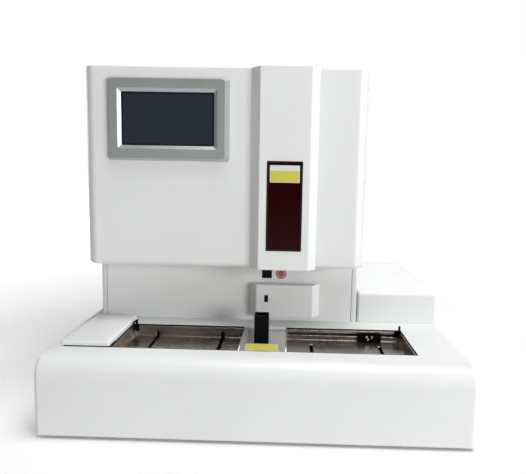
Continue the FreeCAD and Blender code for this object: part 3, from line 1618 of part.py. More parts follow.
def rocker_switch():
    """A shallow V seen from the side, on two stub pins."""
    x, y, z = rocker_place()
    half = rocker_height / 2 - seam * 3
    lift = inlet_face / 2
    y1 = io_face + inlet_face / 2
    deep = rocker_height / 2.5
    x0 = x - rocker_width / 2
    corners = [Vector(x0, y1 - deep, z - half / 2), Vector(x0, y1, z - half), Vector(x0, y1 - lift, z),
               Vector(x0, y1, z + half), Vector(x0, y1 - deep, z + half / 2)]
    body = prism(corners, [0] * 5, Vector(rocker_width, 0, 0))
    pin = rod_x(x0 - thin_sheet, x0 + rocker_width + thin_sheet, y, z, rocker_pin_radius)
    return fuse([body, pin])


def port_places():
    x0, x1, z0, z1 = io_span()
    x = x0 + port_gap * 2.5 + inlet_width
    z = z0 + port_gap
    g = port_gap
    return [(x, z, g * 1.4, g * 1.3), (x + g * 2.2, z, g * 1.4, g * 1.3), (x + g * 4.4, z, g * 1.6, g * 1.4),
            (x, z + g * 2.8, g * 3.2, g * 1.2)]


def data_ports():
    y1 = io_face
    made = []
    for x, z, w, h in port_places():
        g = seam / 3
        body = block(x + g, x + w - g, y1 - port_gap, y1 + inlet_face / 2, z + g, z + h - g)
        rim = port_gap / 10
        lip = block(x - rim, x + w + rim, y1, y1 + inlet_face / 2, z - rim, z + h + rim)
        room = block(x + rim, x + w - rim, y1 - port_gap * 0.8, y1 + overrun, z + rim, z + h - rim)
        tongue = block(x + w * 0.25, x + w * 0.75, y1 - port_gap * 0.8, y1 - rim, z + h * 0.4, z + h * 0.6)
        made.append(fuse([fuse([body, lip]).cut(room), tongue]))
    return Part.makeCompound(made)


def barb_places():
    x0, x1, z0, z1 = io_span()
    return [(x1 - port_gap * (1.2 + 2.4 * i), z1 - port_gap * 1.6) for i in range(3)]


def fluid_ports():
    """Hose barbs, each turned from one profile: a stem, a nut on the plate and a sharp ridge."""
    bore, stem = barb_bore_radius, barb_stem_radius
    nut_y, tip = io_face + inlet_face, io_face + barb_length
    profile = [(bore, io_face - barb_length), (stem, io_face - barb_length), (stem, io_face),
               (barb_nut_radius, io_face), (barb_nut_radius, nut_y), (stem, nut_y),
               (stem, tip - barb_ridge_length), (barb_radius, tip - barb_ridge_length),
               (stem - seam, tip), (bore, tip)]
    made = []
    for x, z in barb_places():
        corners = [Vector(x + r, y, z) for r, y in profile]
        face = Part.Face(rounded_wire(corners, [0] * len(corners)))
        made.append(face.revolve(Vector(x, 0, z), Vector(0, 1, 0), 360))
    return Part.makeCompound(made)


nodes = [
    base_cover, base_pan, rubber_feet, frame_uprights, roof_plate, shelf_plate, transport_frame,
    load_tray, unload_tray, bridge_plate, tube_sleeve, corner_brackets, hinge_lugs, strip_bin,
    neck_shell, neck_panel, reader_housing, reader_window, scanner_engine, cabinet_shell, rear_panel,
    display_bezel, touch_panel, display_module, column_door, door_window, window_gasket, left_lid,
    right_cover, strip_hopper, feeder_drum, guide_rods, load_pusher, unload_pusher, drive_belts,
    stepper_motors, cross_shuttle, wash_block, lift_plate, lift_motor, lift_screw, lift_rail,
    lift_carriage, probe_arm, probe_needle, traverse_block, strip_bed, strip_comb, reading_head,
    power_supply, pump_body, pump_rotor, control_board, fan_frame, fan_rotor, connector_plate,
    power_inlet, rocker_switch, data_ports, fluid_ports,
]

os.makedirs("parts", exist_ok=True)
for make in nodes:
    shape = make()
    shape.exportStep("parts/" + make.__name__ + ".step")
    print(make.__name__, "solids", len(shape.Solids), "valid", shape.isValid(),
          "volume", round(shape.Volume / 1000, 2))
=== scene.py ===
import json
import math

import bmesh
import bpy
from mathutils import Matrix, Vector


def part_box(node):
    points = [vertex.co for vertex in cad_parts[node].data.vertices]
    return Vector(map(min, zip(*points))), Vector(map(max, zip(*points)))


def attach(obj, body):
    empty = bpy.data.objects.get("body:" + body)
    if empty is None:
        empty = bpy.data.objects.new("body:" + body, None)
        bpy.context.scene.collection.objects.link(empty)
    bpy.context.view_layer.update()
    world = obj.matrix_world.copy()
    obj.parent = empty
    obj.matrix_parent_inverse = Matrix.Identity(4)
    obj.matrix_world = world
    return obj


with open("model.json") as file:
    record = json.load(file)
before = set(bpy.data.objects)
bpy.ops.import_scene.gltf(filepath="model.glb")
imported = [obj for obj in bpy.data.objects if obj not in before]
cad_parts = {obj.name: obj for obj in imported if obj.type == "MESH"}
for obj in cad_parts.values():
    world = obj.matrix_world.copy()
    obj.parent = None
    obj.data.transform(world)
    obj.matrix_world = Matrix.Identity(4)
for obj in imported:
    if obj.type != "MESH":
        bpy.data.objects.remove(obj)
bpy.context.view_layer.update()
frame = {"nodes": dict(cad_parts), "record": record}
nodes = frame["nodes"]
mm = 0.001
print("frame loaded:", len(nodes), "nodes")

# Camera, as the photograph was taken
shot = {
    "place": (0.0495, -1.1101, 0.4543),
    "yaw": -0.0236157, "pitch": 0.1159110, "roll": -0.0186680,  # radians
    "imageWidth": 526, "imageHeight": 474,
    "focalPixels": 500.0, "middleX": 275.036, "middleY": 230.889,
    "sensor": 36.0, "nearest": 0.01,
}


def addCamera():
    data = bpy.data.cameras.new("camera")
    cam = bpy.data.objects.new("camera", data)
    bpy.context.scene.collection.objects.link(cam)
    yaw, pitch, roll = shot["yaw"], shot["pitch"], shot["roll"]
    ahead = Vector((math.sin(yaw) * math.cos(pitch), math.cos(yaw) * math.cos(pitch), -math.sin(pitch)))
    right = Vector((math.cos(yaw), -math.sin(yaw), 0))
    down = ahead.cross(right)
    rolledRight = math.cos(roll) * right + math.sin(roll) * down
    rolledDown = math.cos(roll) * down - math.sin(roll) * right
    turn = Matrix((rolledRight, -rolledDown, -ahead)).transposed().to_4x4()
    cam.matrix_world = Matrix.Translation(shot["place"]) @ turn
    wide = shot["imageWidth"]
    data.sensor_width = shot["sensor"]
    data.sensor_fit = "HORIZONTAL"
    data.lens = shot["focalPixels"] / wide * shot["sensor"]
    data.shift_x = (wide / 2 - shot["middleX"]) / wide
    data.shift_y = (shot["middleY"] - shot["imageHeight"] / 2) / wide
    data.clip_start = shot["nearest"]
    bpy.context.scene.camera = cam


addCamera()
print("camera set")

# Small helpers for shader trees
shaderSockets = {"metallic": "Metallic", "specular": "Specular IOR Level", "coat": "Coat Weight",
                 "coatRoughness": "Coat Roughness"}
noiseLow, noiseHigh = 0.3, 0.7  # nearly all of a noise texture's values lie between these
edgeSamples = 6
mixFirst, mixSecond, mixResult = 6, 7, 2  # the Mix node's colour sockets, by their places


class Shader:
    def __init__(self, name):
        self.mat = bpy.data.materials.new(name)
        self.mat.use_nodes = True
        self.tree = self.mat.node_tree
        self.tree.nodes.clear()
        self.out = self.tree.nodes.new("ShaderNodeOutputMaterial")
        self.main = self.tree.nodes.new("ShaderNodeBsdfPrincipled")
        self.join(self.main, "BSDF", self.out, "Surface")
        self.where = self.tree.nodes.new("ShaderNodeTexCoord")
        self.edges = None

    def join(self, fromNode, fromSocket, toNode, toSocket):
        self.tree.links.new(fromNode.outputs[fromSocket], toNode.inputs[toSocket])

    def fix(self, **values):
        for key, value in values.items():
            self.main.inputs[shaderSockets[key]].default_value = value
        return self

    def softEdges(self, radius):
        # Catches a thin highlight along folds and corners, as a small real radius does
        self.edges = self.tree.nodes.new("ShaderNodeBevel")
        self.edges.samples = edgeSamples
        self.edges.inputs["Radius"].default_value = radius
        self.join(self.edges, "Normal", self.main, "Normal")
        return self

    def stretched(self, stretch):
        mapping = self.tree.nodes.new("ShaderNodeMapping")
        mapping.inputs["Scale"].default_value = stretch
        self.join(self.where, "Object", mapping, "Vector")
        return mapping

    def noise(self, scale, detail, rough=0.55, stretch=(1, 1, 1)):
        node = self.tree.nodes.new("ShaderNodeTexNoise")
        node.inputs["Scale"].default_value = scale
        node.inputs["Detail"].default_value = detail
        node.inputs["Roughness"].default_value = rough
        self.join(self.stretched(stretch), "Vector", node, "Vector")
        return node

    def spread(self, node, socket, low, high, fromLow=noiseLow, fromHigh=noiseHigh):
        part = self.tree.nodes.new("ShaderNodeMapRange")
        part.inputs["From Min"].default_value = fromLow
        part.inputs["From Max"].default_value = fromHigh
        part.inputs["To Min"].default_value = low
        part.inputs["To Max"].default_value = high
        self.join(node, socket, part, "Value")
        return part

    def colours(self, node, socket, tones, spots=None):
        ramp = self.tree.nodes.new("ShaderNodeValToRGB")
        stops = ramp.color_ramp.elements
        last = len(tones) - 1
        spots = spots or [noiseLow + (noiseHigh - noiseLow) * i / last for i in range(len(tones))]
        while len(stops) < len(tones):
            stops.new(0.5)  # its place is set below
        for stop, spot, tone in zip(stops, spots, tones):
            stop.position = spot
            stop.color = (*tone, 1)
        self.join(node, socket, ramp, "Fac")
        return ramp

    def bump(self, node, socket, strength, depth):
        bump = self.tree.nodes.new("ShaderNodeBump")
        bump.inputs["Strength"].default_value = strength
        bump.inputs["Distance"].default_value = depth
        self.join(node, socket, bump, "Height")
        self.join(self.edges, "Normal", bump, "Normal")
        self.join(bump, "Normal", self.main, "Normal")


def shade(tone, factor):
    return tuple(c * factor for c in tone)


# Satin paint or moulding: a slow drift of tone, uneven gloss and a fine orange peel
paintCoat = {
    "edge": 0.5 * mm,
    "driftScale": 3.5, "driftDetail": 3.0, "darker": 0.97, "lighter": 1.012,
    "glossScale": 22.0, "glossDetail": 5.0, "glossiest": 0.85, "dullest": 1.18,
    "peelScale": 900.0, "peelDetail": 2.0, "peelStrength": 0.25, "peelDepth": 0.05 * mm,
}


def coveringPaint(name, tone, roughness, peelScale=paintCoat["peelScale"], metallic=0.0):
    row = paintCoat
    paint = Shader(name).fix(metallic=metallic).softEdges(row["edge"])
    drift = paint.noise(row["driftScale"], row["driftDetail"])
    ramp = paint.colours(drift, "Fac", [shade(tone, row["darker"]), tone, shade(tone, row["lighter"])])
    paint.join(ramp, "Color", paint.main, "Base Color")
    gloss = paint.noise(row["glossScale"], row["glossDetail"])
    uneven = paint.spread(gloss, "Fac", roughness * row["glossiest"], roughness * row["dullest"])
    paint.join(uneven, "Result", paint.main, "Roughness")
    peel = paint.noise(peelScale, row["peelDetail"])
    paint.bump(peel, "Fac", row["peelStrength"], row["peelDepth"])
    return paint


# Fine parallel scratches along one axis, with wiped smudges over them
brushing = {
    "lineScale": 60.0, "lineDetail": 8.0, "lineRough": 0.75, "lighterShare": 0.6,
    "lineStrength": 0.3, "lineDepth": 0.03 * mm,
    "wipeScale": 9.0, "wipeDetail": 4.0, "wipeRough": 0.6, "wipeStretch": (1, 1.7, 1), "wipeShare": 0.4,
}


def brushedMetal(name, tone, roughness, stretch, streak, smudge, edge=0.3 * mm, wiped=0.82,
                 lineScale=brushing["lineScale"]):
    row = brushing
    metal = Shader(name).fix(metallic=1.0).softEdges(edge)
    lines = metal.noise(lineScale, row["lineDetail"], row["lineRough"], stretch)
    wipes = metal.noise(row["wipeScale"], row["wipeDetail"], row["wipeRough"], row["wipeStretch"])
    lighter = shade(tone, 1 + streak * row["lighterShare"])
    ramp = metal.colours(lines, "Fac", [shade(tone, 1 - streak), tone, lighter])
    dull = metal.colours(wipes, "Fac", [shade(tone, wiped), tone])
    mix = metal.tree.nodes.new("ShaderNodeMix")
    mix.data_type = "RGBA"
    mix.inputs["Factor"].default_value = row["wipeShare"]
    metal.join(ramp, "Color", mix, mixFirst)
    metal.join(dull, "Color", mix, mixSecond)
    metal.join(mix, mixResult, metal.main, "Base Color")
    metal.join(metal.spread(wipes, "Fac", roughness, roughness + smudge), "Result", metal.main, "Roughness")
    metal.bump(lines, "Fac", row["lineStrength"], row["lineDepth"])
    return metal


# Crystals of galvanised sheet
spangle = {"scale": 90.0, "darker": 0.86, "lighter": 1.08, "spots": [0.1, 0.5, 0.9], "glossier": 0.06,
           "duller": 0.08}


def spangledZinc(name, tone, roughness):
    row = spangle
    zinc = Shader(name).fix(metallic=1.0)
    cells = zinc.tree.nodes.new("ShaderNodeTexVoronoi")
    cells.inputs["Scale"].default_value = row["scale"]
    zinc.join(zinc.where, "Object", cells, "Vector")
    grey = zinc.tree.nodes.new("ShaderNodeRGBToBW")
    zinc.join(cells, "Color", grey, "Color")
    tones = [shade(tone, row["darker"]), tone, shade(tone, row["lighter"])]
    zinc.join(zinc.colours(grey, "Val", tones, row["spots"]), "Color", zinc.main, "Base Color")
    uneven = zinc.spread(grey, "Val", roughness - row["glossier"], roughness + row["duller"], 0, 1)
    zinc.join(uneven, "Result", zinc.main, "Roughness")
    return zinc


# Black moulding and rubber with a fine grain
moulding = {
    "edge": 0.4 * mm, "driftScale": 12.0, "driftDetail": 4.0, "darker": 0.7, "lighter": 1.25,
    "glossiest": 0.85, "dullest": 1.15,
    "grainScale": 1400.0, "grainDetail": 3.0, "grainStrength": 0.4, "grainDepth": 0.06 * mm,
}


def mouldedBlack(name, tone, roughness, specular=0.25):
    row = moulding
    black = Shader(name).fix(specular=specular).softEdges(row["edge"])
    drift = black.noise(row["driftScale"], row["driftDetail"])
    ramp = black.colours(drift, "Fac", [shade(tone, row["darker"]), shade(tone, row["lighter"])])
    black.join(ramp, "Color", black.main, "Base Color")
    uneven = black.spread(drift, "Fac", roughness * row["glossiest"], roughness * row["dullest"])
    black.join(uneven, "Result", black.main, "Roughness")
    black.bump(black.noise(row["grainScale"], row["grainDetail"]), "Fac", row["grainStrength"],
               row["grainDepth"])
    return black


# Smooth plastic and glass, a little uneven in tone and gloss
polish = {"coatRoughness": 0.04, "driftScale": 6.0, "driftDetail": 3.0, "darker": 0.9, "lighter": 1.1,
          "glossScale": 40.0, "glossDetail": 4.0, "duller": 0.05}


def polishedPlastic(name, tone, roughness, coat=0.0, specular=0.5):
    row = polish
    plastic = Shader(name).fix(coat=coat, coatRoughness=row["coatRoughness"], specular=specular)
    drift = plastic.noise(row["driftScale"], row["driftDetail"])
    ramp = plastic.colours(drift, "Fac", [shade(tone, row["darker"]), shade(tone, row["lighter"])])
    plastic.join(ramp, "Color", plastic.main, "Base Color")
    gloss = plastic.noise(row["glossScale"], row["glossDetail"])
    uneven = plastic.spread(gloss, "Fac", roughness, roughness + row["duller"])
    plastic.join(uneven, "Result", plastic.main, "Roughness")
    return plastic


# Tone and roughness of each finish
labelPeel = 400.0
finishes = {
    "whitePaint": coveringPaint("whitePaint", (0.80, 0.815, 0.805), 0.36),
    "whiteTrim": coveringPaint("whiteTrim", (0.74, 0.755, 0.75), 0.45),
    "silverPlastic": coveringPaint("silverPlastic", (0.47, 0.485, 0.48), 0.34, peelScale=1500.0,
                                   metallic=0.5),
    "darkScreen": polishedPlastic("darkScreen", (0.012, 0.014, 0.020), 0.12, specular=0.35),
    "redAcrylic": polishedPlastic("redAcrylic", (0.020, 0.0007, 0.0016), 0.08, specular=0.12),
    "blackSatin": mouldedBlack("blackSatin", (0.0028, 0.003, 0.0036), 0.36, specular=0.08),
    "blackGloss": polishedPlastic("blackGloss", (0.006, 0.006, 0.007), 0.12, coat=0.5),
    "rubber": mouldedBlack("rubber", (0.010, 0.010, 0.010), 0.75),
    "stainless": brushedMetal("stainless", (0.50, 0.455, 0.405), 0.17, stretch=(1, 14, 14), streak=0.6,
                              smudge=0.22, edge=2.5 * mm, wiped=0.7, lineScale=16.0),
    "stainlessBridge": brushedMetal("stainlessBridge", (0.70, 0.67, 0.68), 0.08, stretch=(1, 1, 1),
                                    streak=0.05, smudge=0.08, edge=2.0 * mm),
    "zinc": spangledZinc("zinc", (0.52, 0.53, 0.55), 0.42),
    "brightSteel": brushedMetal("brightSteel", (0.66, 0.66, 0.67), 0.14, stretch=(1, 1, 1), streak=0.04,
                                smudge=0.08),
    "aluminium": brushedMetal("aluminium", (0.62, 0.63, 0.64), 0.30, stretch=(1, 1, 12), streak=0.07,
                              smudge=0.12),
    "motorBlack": mouldedBlack("motorBlack", (0.018, 0.018, 0.02), 0.5),
    "screenField": polishedPlastic("screenField", (0.022, 0.028, 0.043), 0.10, specular=0.35),
    "boardGreen": polishedPlastic("boardGreen", (0.012, 0.11, 0.035), 0.3),
    "greyPlastic": coveringPaint("greyPlastic", (0.27, 0.28, 0.29), 0.5),
    "palePlastic": coveringPaint("palePlastic", (0.60, 0.63, 0.66), 0.32),
    "yellowLabel": coveringPaint("yellowLabel", (0.62, 0.58, 0.075), 0.42, labelPeel),
    "whiteLabel": coveringPaint("whiteLabel", (0.70, 0.71, 0.72), 0.42, labelPeel),
    "redLabel": coveringPaint("redLabel", (0.47, 0.07, 0.055), 0.42, labelPeel),
    "paleRedLabel": coveringPaint("paleRedLabel", (0.42, 0.10, 0.08), 0.42, labelPeel),
}
print("materials made:", len(finishes))

slotFinish = {
    "white_cover": "whitePaint", "white_trim": "whiteTrim", "silver_bezel": "silverPlastic",
    "dark_screen": "darkScreen", "red_window": "redAcrylic", "black_plastic": "blackSatin",
    "black_gloss": "blackGloss", "rubber": "rubber", "stainless": "stainless", "zinc_steel": "zinc",
    "bright_steel": "brightSteel", "aluminium": "aluminium", "motor": "motorBlack", "board": "boardGreen",
    "grey_plastic": "greyPlastic", "clear_plastic": "palePlastic",
}
nodeFinish = {"bridge_plate": "stainlessBridge"}  # nodes that differ from their slot


def paintNodes():
    slots = {row["node"]: row["material_slot"] for row in frame["record"]["subparts"]}
    for name, piece in nodes.items():
        finish = nodeFinish.get(name, slotFinish[slots[name]])
        for slot in piece.material_slots:
            slot.material = finishes[finish].mat


paintNodes()
print("nodes painted")


# Shapes that several pieces share
def keep(name, bm, finish, body):
    bmesh.ops.recalc_face_normals(bm, faces=bm.faces)
    mesh = bpy.data.meshes.new(name)
    bm.to_mesh(mesh)
    bm.free()
    mesh.materials.append(finishes[finish].mat)
    piece = bpy.data.objects.new(name, mesh)
    bpy.context.scene.collection.objects.link(piece)
    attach(piece, body)


def plateFromOutline(points, place, thick):
    # place turns a point of the outline and a height over the surface into the part's frame
    bm = bmesh.new()
    low = [bm.verts.new(place(u, v, 0)) for u, v in points]
    high = [bm.verts.new(place(u, v, thick)) for u, v in points]
    bm.faces.new(high)
    bm.faces.new(list(reversed(low)))
    for i in range(len(points)):
        j = (i + 1) % len(points)
        bm.faces.new((low[i], low[j], high[j], high[i]))
    return bm


def roundedOutline(x0, x1, y0, y1, radius, steps):
    points = []
    middles = [(x1 - radius, y1 - radius), (x0 + radius, y1 - radius), (x0 + radius, y0 + radius),
               (x1 - radius, y0 + radius)]
    for quarter, (middleX, middleY) in enumerate(middles):
        for i in range(steps + 1):
            angle = (quarter + i / steps) * math.pi / 2
            points.append((middleX + radius * math.cos(angle), middleY + radius * math.sin(angle)))
    return points


narrowestCorner = 0.3  # keeps the point of a sharp corner short


def stripAlong(path, thick, low, high):
    # A band on edge that follows an open path on the level, thickened towards its left
    ways = [(Vector(b) - Vector(a)).normalized() for a, b in zip(path, path[1:])]
    outer, inner = [], []
    for i, point in enumerate(path):
        ahead = ways[min(i, len(ways) - 1)]
        middle = (ways[max(i - 1, 0)] + ahead).normalized()
        side = Vector((-middle.y, middle.x))
        lean = side.dot(Vector((-ahead.y, ahead.x)))
        outer.append(Vector(point))
        inner.append(Vector(point) + side * (thick / max(lean, narrowestCorner)))
    bm = bmesh.new()
    lines = ((outer, low), (inner, low), (inner, high), (outer, high))
    rows = [[bm.verts.new((p.x, p.y, z)) for p in line] for line, z in lines]
    for i in range(len(path) - 1):
        for k in range(len(rows)):
            a, b = rows[k], rows[(k + 1) % len(rows)]
            bm.faces.new((a[i], a[i + 1], b[i + 1], b[i]))
    for i in (0, -1):
        bm.faces.new([row[i] for row in rows])
    return bm


# Thin white stickers with round corners and a plain yellow field
sticker = {
    "thick": 0.2 * mm, "corner": 1.2 * mm, "cornerSteps": 5, "fieldShare": 0.5,
    "window": {"side": 0.055, "drop": 5.5 * mm, "tall": 32.5 * mm, "band": 10.5 * mm, "rim": 1.5 * mm},
    "bridge": {"box": (-21.6 * mm, 37.7 * mm, -250 * mm, -214 * mm), "rim": 1.0 * mm},
}


def addLabel(name, box, fieldBox, place, body):
    corner, steps, thick = sticker["corner"], sticker["cornerSteps"], sticker["thick"]
    share = sticker["fieldShare"]
    paper = plateFromOutline(roundedOutline(*box, corner, steps), place, thick)
    keep(name, paper, "whiteLabel", body)
    field = plateFromOutline(roundedOutline(*fieldBox, corner * share, steps),
                             lambda u, v, h: place(u, v, h + thick), thick * share)
    keep(name + "Field", field, "yellowLabel", body)


def addStickers():
    glassLow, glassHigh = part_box("door_window")
    row = sticker["window"]
    side = (glassHigh[0] - glassLow[0]) * row["side"]
    x0, x1 = glassLow[0] + side, glassHigh[0] - side
    top, rim = glassHigh[2] - row["drop"], row["rim"]
    addLabel("windowLabel", (x0, x1, top - row["tall"], top),
             (x0 + rim, x1 - rim, top - row["tall"] + rim, top - row["band"]),
             lambda u, v, h: (u, glassLow[1] - h, v), "column_door")
    row = sticker["bridge"]
    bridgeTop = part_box("bridge_plate")[1][2]
    x0, x1, y0, y1 = row["box"]
    rim = row["rim"]
    addLabel("bridgeLabel", row["box"], (x0 + rim, x1 - rim, y0 + rim, y1 - rim),
             lambda u, v, h: (u, v, bridgeTop + h), "chassis")


addStickers()
print("stickers placed")

# Round sticker on the neck: a red ring round a paler red middle, each disc over the one before
neckMark = {"x": 39.9 * mm, "z": 242 * mm, "radius": 11.6 * mm, "lift": 0.2 * mm, "steps": 48,
            "discs": [("Paper", "whiteLabel", 1.0), ("Ring", "redLabel", 0.95), ("Gap", "whiteLabel", 0.72),
                      ("Middle", "paleRedLabel", 0.62)]}


def addNeckMark():
    mark = neckMark
    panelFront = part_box("neck_panel")[0][1]
    angles = [2 * math.pi * k / mark["steps"] for k in range(mark["steps"])]
    for i, (part, finish, share) in enumerate(mark["discs"]):
        radius, front = mark["radius"] * share, panelFront - mark["lift"] * i
        points = [(mark["x"] + radius * math.cos(a), mark["z"] + radius * math.sin(a)) for a in angles]
        disc = plateFromOutline(points, lambda u, v, h: (u, front - h, v), mark["lift"])
        keep("neckMark" + part, disc, finish, "chassis")


addNeckMark()
print("neck mark placed")

# A black band on the cut edge of the deck, beside each tray
deckBand = {"flange": 8 * mm, "thick": 0.8 * mm, "low": 138.1 * mm, "high": 141.2 * mm}


def addDeckBand():
    flange = deckBand["flange"]
    low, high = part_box("load_tray")
    bridgeLow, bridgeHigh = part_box("bridge_plate")
    left, front, back = low[0] + flange, low[1] + flange, high[1] - flange
    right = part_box("unload_tray")[1][0] - flange
    paths = {
        "deckBandLeft": [(bridgeLow[0], back), (left, back), (left, front), (bridgeLow[0], front)],
        "deckBandRight": [(bridgeHigh[0], front), (right, front), (right, back), (bridgeHigh[0], back)],
    }
    for name, path in paths.items():
        band = stripAlong(path, deckBand["thick"], deckBand["low"], deckBand["high"])
        keep(name, band, "rubber", "chassis")


addDeckBand()

# Polished folds along both sides of the bridge
bridgeFold = {"radius": 0.9 * mm, "sink": 0.35 * mm, "steps": 8}


def addBridgeFolds():
    low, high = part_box("bridge_plate")
    radius, steps = bridgeFold["radius"], bridgeFold["steps"]
    rise = radius - bridgeFold["sink"]
    bm = bmesh.new()
    for x in (low[0] + radius, high[0] - radius):
        ends = []
        for y in (low[1] + radius, high[1] - radius):
            angles = [math.pi * k / steps for k in range(steps + 1)]
            ends.append([bm.verts.new((x + radius * math.cos(a), y, high[2] + rise * math.sin(a)))
                         for a in angles])
        for k in range(steps):
            bm.faces.new((ends[0][k], ends[0][k + 1], ends[1][k + 1], ends[1][k])).smooth = True
        bm.faces.new((ends[0][-1], ends[0][0], ends[1][0], ends[1][-1]))
        for end in ends:
            bm.faces.new(end)
    keep("bridgeFolds", bm, "brightSteel", "chassis")


addBridgeFolds()

# Thin black strip along the foot of the left lid: painted shade, standing in for the shadow in the gap
# under the lid, which shows as a dark line
lidShadowStrip = {"return": 30 * mm, "inset": 6 * mm, "thick": 0.22 * mm, "tall": 1.7 * mm}


def addLidShadowStrip():
    low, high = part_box("left_lid")
    x0, x1 = low[0] + lidShadowStrip["inset"], high[0]
    path = [(x1, low[1] + lidShadowStrip["return"]), (x1, low[1]), (x0, low[1])]
    shadeStrip = stripAlong(path, lidShadowStrip["thick"], low[2], low[2] + lidShadowStrip["tall"])
    # black strip where only the shadow of the gap under the lid falls: painted shade
    keep("lidShadowStrip", shadeStrip, "rubber", "waste_lid")


addLidShadowStrip()
print("edging, folds and seal fitted")

# The lit field of the display, just inside its dark border
screenField = {"border": 7.5 * mm, "corner": 1.0 * mm, "cornerSteps": 4, "thick": 0.06 * mm}


def addScreenField():
    low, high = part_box("touch_panel")
    border = screenField["border"]
    outline = roundedOutline(low[0] + border, high[0] - border, low[2] + border, high[2] - border,
                             screenField["corner"], screenField["cornerSteps"])
    field = plateFromOutline(outline, lambda u, v, h: (u, low[1] - h, v), screenField["thick"])
    keep("screenField", field, "screenField", "chassis")


addScreenField()
print("display field fitted")

# Screws with a domed head and a small round socket
screws = {
    "steps": 24,
    # shares of radius and height, from the middle of the socket to the middle of the underside
    "head": [(0, 0.4), (0.3, 0.4), (0.3, 1), (0.62, 0.93), (0.87, 0.7), (1, 0.3), (1, 0), (0, 0)],
    "shuttle": {"radius": 2.5 * mm, "height": 1.2 * mm, "tall": 12.5 * mm,
                "shares": [(0.38, 0.69), (0.61, 0.69), (0.45, 0.33)]},
    "panel": {"radius": 2.8 * mm, "height": 1.4 * mm, "inset": 9 * mm, "across": 4},
    "fan": {"radius": 2.4 * mm, "height": 1.2 * mm, "inset": 5 * mm},
    "socketPlate": {"radius": 2.2 * mm, "height": 1.1 * mm, "inset": 13 * mm, "back": 2 * mm},
}
forwards, backwards = (0, -1, 0), (0, 1, 0)


def addHead(bm, row, place, direction):
    turn = Vector(direction).to_track_quat("Z", "Y").to_matrix()
    steps = screws["steps"]
    rings = []
    for radiusShare, heightShare in screws["head"]:
        radius, height = row["radius"] * radiusShare, row["height"] * heightShare
        ring = []
        for i in range(steps if radius else 1):
            angle = 2 * math.pi * i / steps
            spot = Vector((radius * math.cos(angle), radius * math.sin(angle), height))
            ring.append(bm.verts.new(Vector(place) + turn @ spot))
        rings.append(ring)
    for low, high in zip(rings, rings[1:]):
        for i in range(steps):
            j = (i + 1) % steps
            corners = [low[i % len(low)], low[j % len(low)], high[j % len(high)], high[i % len(high)]]
            unique = [c for k, c in enumerate(corners) if c not in corners[:k]]
            face = bm.faces.new(unique)
            face.smooth = len(low) > 1 and len(high) > 1


def addScrews(name, row, spots, direction, body):
    bm = bmesh.new()
    for spot in spots:
        addHead(bm, row, spot, direction)
    keep(name, bm, "brightSteel", body)


def cornerSpots(low, high, inset, y):
    return [(x, y, z) for x in (low[0] + inset, high[0] - inset) for z in (low[2] + inset, high[2] - inset)]


def addShuttleScrews():
    row = screws["shuttle"]
    low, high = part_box("cross_shuttle")
    wide = high[0] - low[0]
    spots = [(low[0] + wide * u, low[1], high[2] - row["tall"] * (1 - v)) for u, v in row["shares"]]
    addScrews("shuttleScrews", row, spots, forwards, "cross_shuttle")


def addBackScrews():
    row = screws["panel"]
    low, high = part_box("rear_panel")
    inset, last = row["inset"], row["across"] - 1
    xs = [low[0] + inset + (high[0] - low[0] - 2 * inset) * i / last for i in range(row["across"])]
    spots = [(x, high[1], z) for x in xs for z in (low[2] + inset, high[2] - inset)]
    spots += [(x, high[1], (low[2] + high[2]) / 2) for x in (xs[0], xs[-1])]
    addScrews("backPanelScrews", row, spots, backwards, "chassis")
    row = screws["fan"]
    fanLow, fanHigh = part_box("fan_frame")
    addScrews("fanScrews", row, cornerSpots(fanLow, fanHigh, row["inset"], high[1]), backwards, "chassis")
    row = screws["socketPlate"]
    low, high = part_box("connector_plate")
    spots = cornerSpots(low, high, row["inset"], low[1] + row["back"])
    addScrews("socketPlateScrews", row, spots, backwards, "chassis")


addShuttleScrews()
addBackScrews()
print("screws fitted")

# Floor, light and background. Floor and sky look brighter to the camera than the light they give.
studio = {
    "floorSize": 40.0, "floorTone": (0.90, 0.90, 0.90), "floorRoughness": 0.7, "floorPeel": 200.0,
    "glowNear": 0.12, "glowFar": 1.0, "glowFrom": 0.8, "glowTo": 3.0,  # the floor turns white with distance
    "skyLight": 0.09, "skyTone": (1, 1, 1, 1),
    "lights": [
        {"name": "keySoftbox", "place": (4.1, -3.9, 0.95), "size": (2.2, 1.6), "power": 158.0},
        {"name": "sideSoftbox", "place": (2.9, -0.9, 0.8), "size": (1.2, 1.6), "power": 7.0},
        {"name": "frontTopSoftbox", "place": (1.0, -1.7, 2.6), "size": (1.6, 1.4), "power": 10.0},
        {"name": "topRightSoftbox", "place": (0.7, -0.45, 2.8), "size": (1.6, 1.6), "power": 24.0},
        {"name": "topSoftbox", "place": (0.2, -0.5, 2.9), "size": (1.6, 1.2), "power": 30.0},
        {"name": "backSoftbox", "place": (0.6, 3.6, 1.6), "size": (4.0, 2.8), "power": 42.0},
        {"name": "backLeftSoftbox", "place": (-3.0, 1.5, 1.2), "size": (1.6, 1.6), "power": 26.0},
    ],
    "aim": (0.0, 0.0, 0.32),
}


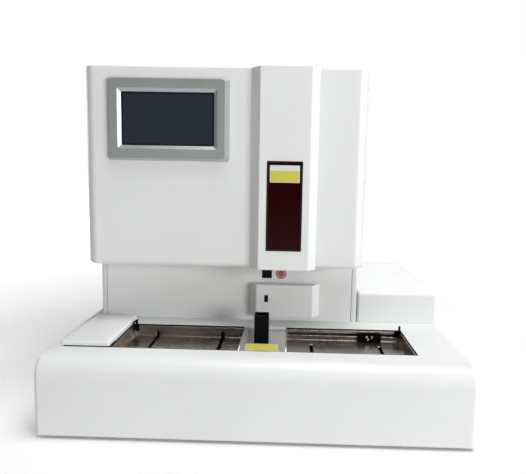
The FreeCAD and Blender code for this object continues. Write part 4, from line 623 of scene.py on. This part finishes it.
def addFloor():
    half = studio["floorSize"] / 2
    corners = [(-half, -half, 0), (half, -half, 0), (half, half, 0), (-half, half, 0)]
    mesh = bpy.data.meshes.new("floor")
    mesh.from_pydata(corners, [], [range(len(corners))])
    floor = bpy.data.objects.new("floor", mesh)
    bpy.context.scene.collection.objects.link(floor)
    paint = coveringPaint("floorPaint", studio["floorTone"], studio["floorRoughness"], studio["floorPeel"])
    paint.main.inputs["Emission Color"].default_value = studio["skyTone"]
    away = paint.tree.nodes.new("ShaderNodeVectorMath")
    away.operation = "LENGTH"
    paint.join(paint.where, "Object", away, 0)
    glow = paint.spread(away, "Value", studio["glowNear"], studio["glowFar"], studio["glowFrom"],
                        studio["glowTo"])
    ray = paint.tree.nodes.new("ShaderNodeLightPath")
    shown = paint.tree.nodes.new("ShaderNodeMath")
    shown.operation = "MULTIPLY"
    paint.join(glow, "Result", shown, 0)
    paint.join(ray, "Is Camera Ray", shown, 1)
    paint.join(shown, "Value", paint.main, "Emission Strength")
    mesh.materials.append(paint.mat)


def addWorld():
    world = bpy.data.worlds.new("studio")
    world.use_nodes = True
    bpy.context.scene.world = world
    tree = world.node_tree
    sky = tree.nodes["Background"]
    seen = tree.nodes.new("ShaderNodeBackground")
    for background in (sky, seen):
        background.inputs["Color"].default_value = studio["skyTone"]
    sky.inputs["Strength"].default_value = studio["skyLight"]
    mix = tree.nodes.new("ShaderNodeMixShader")
    ray = tree.nodes.new("ShaderNodeLightPath")
    tree.links.new(ray.outputs["Is Camera Ray"], mix.inputs["Fac"])
    tree.links.new(sky.outputs["Background"], mix.inputs[1])
    tree.links.new(seen.outputs["Background"], mix.inputs[2])
    tree.links.new(mix.outputs["Shader"], tree.nodes["World Output"].inputs["Surface"])


def addLights():
    for row in studio["lights"]:
        data = bpy.data.lights.new(row["name"], "AREA")
        data.shape = "RECTANGLE"
        data.size, data.size_y = row["size"]
        data.energy = row["power"]
        lamp = bpy.data.objects.new(row["name"], data)
        bpy.context.scene.collection.objects.link(lamp)
        lamp.location = row["place"]
        aim = Vector(studio["aim"]) - Vector(row["place"])
        lamp.rotation_euler = aim.to_track_quat("-Z", "Y").to_euler()


addFloor()
addWorld()
addLights()
bpy.context.scene.view_settings.view_transform = "Standard"
print("studio set")
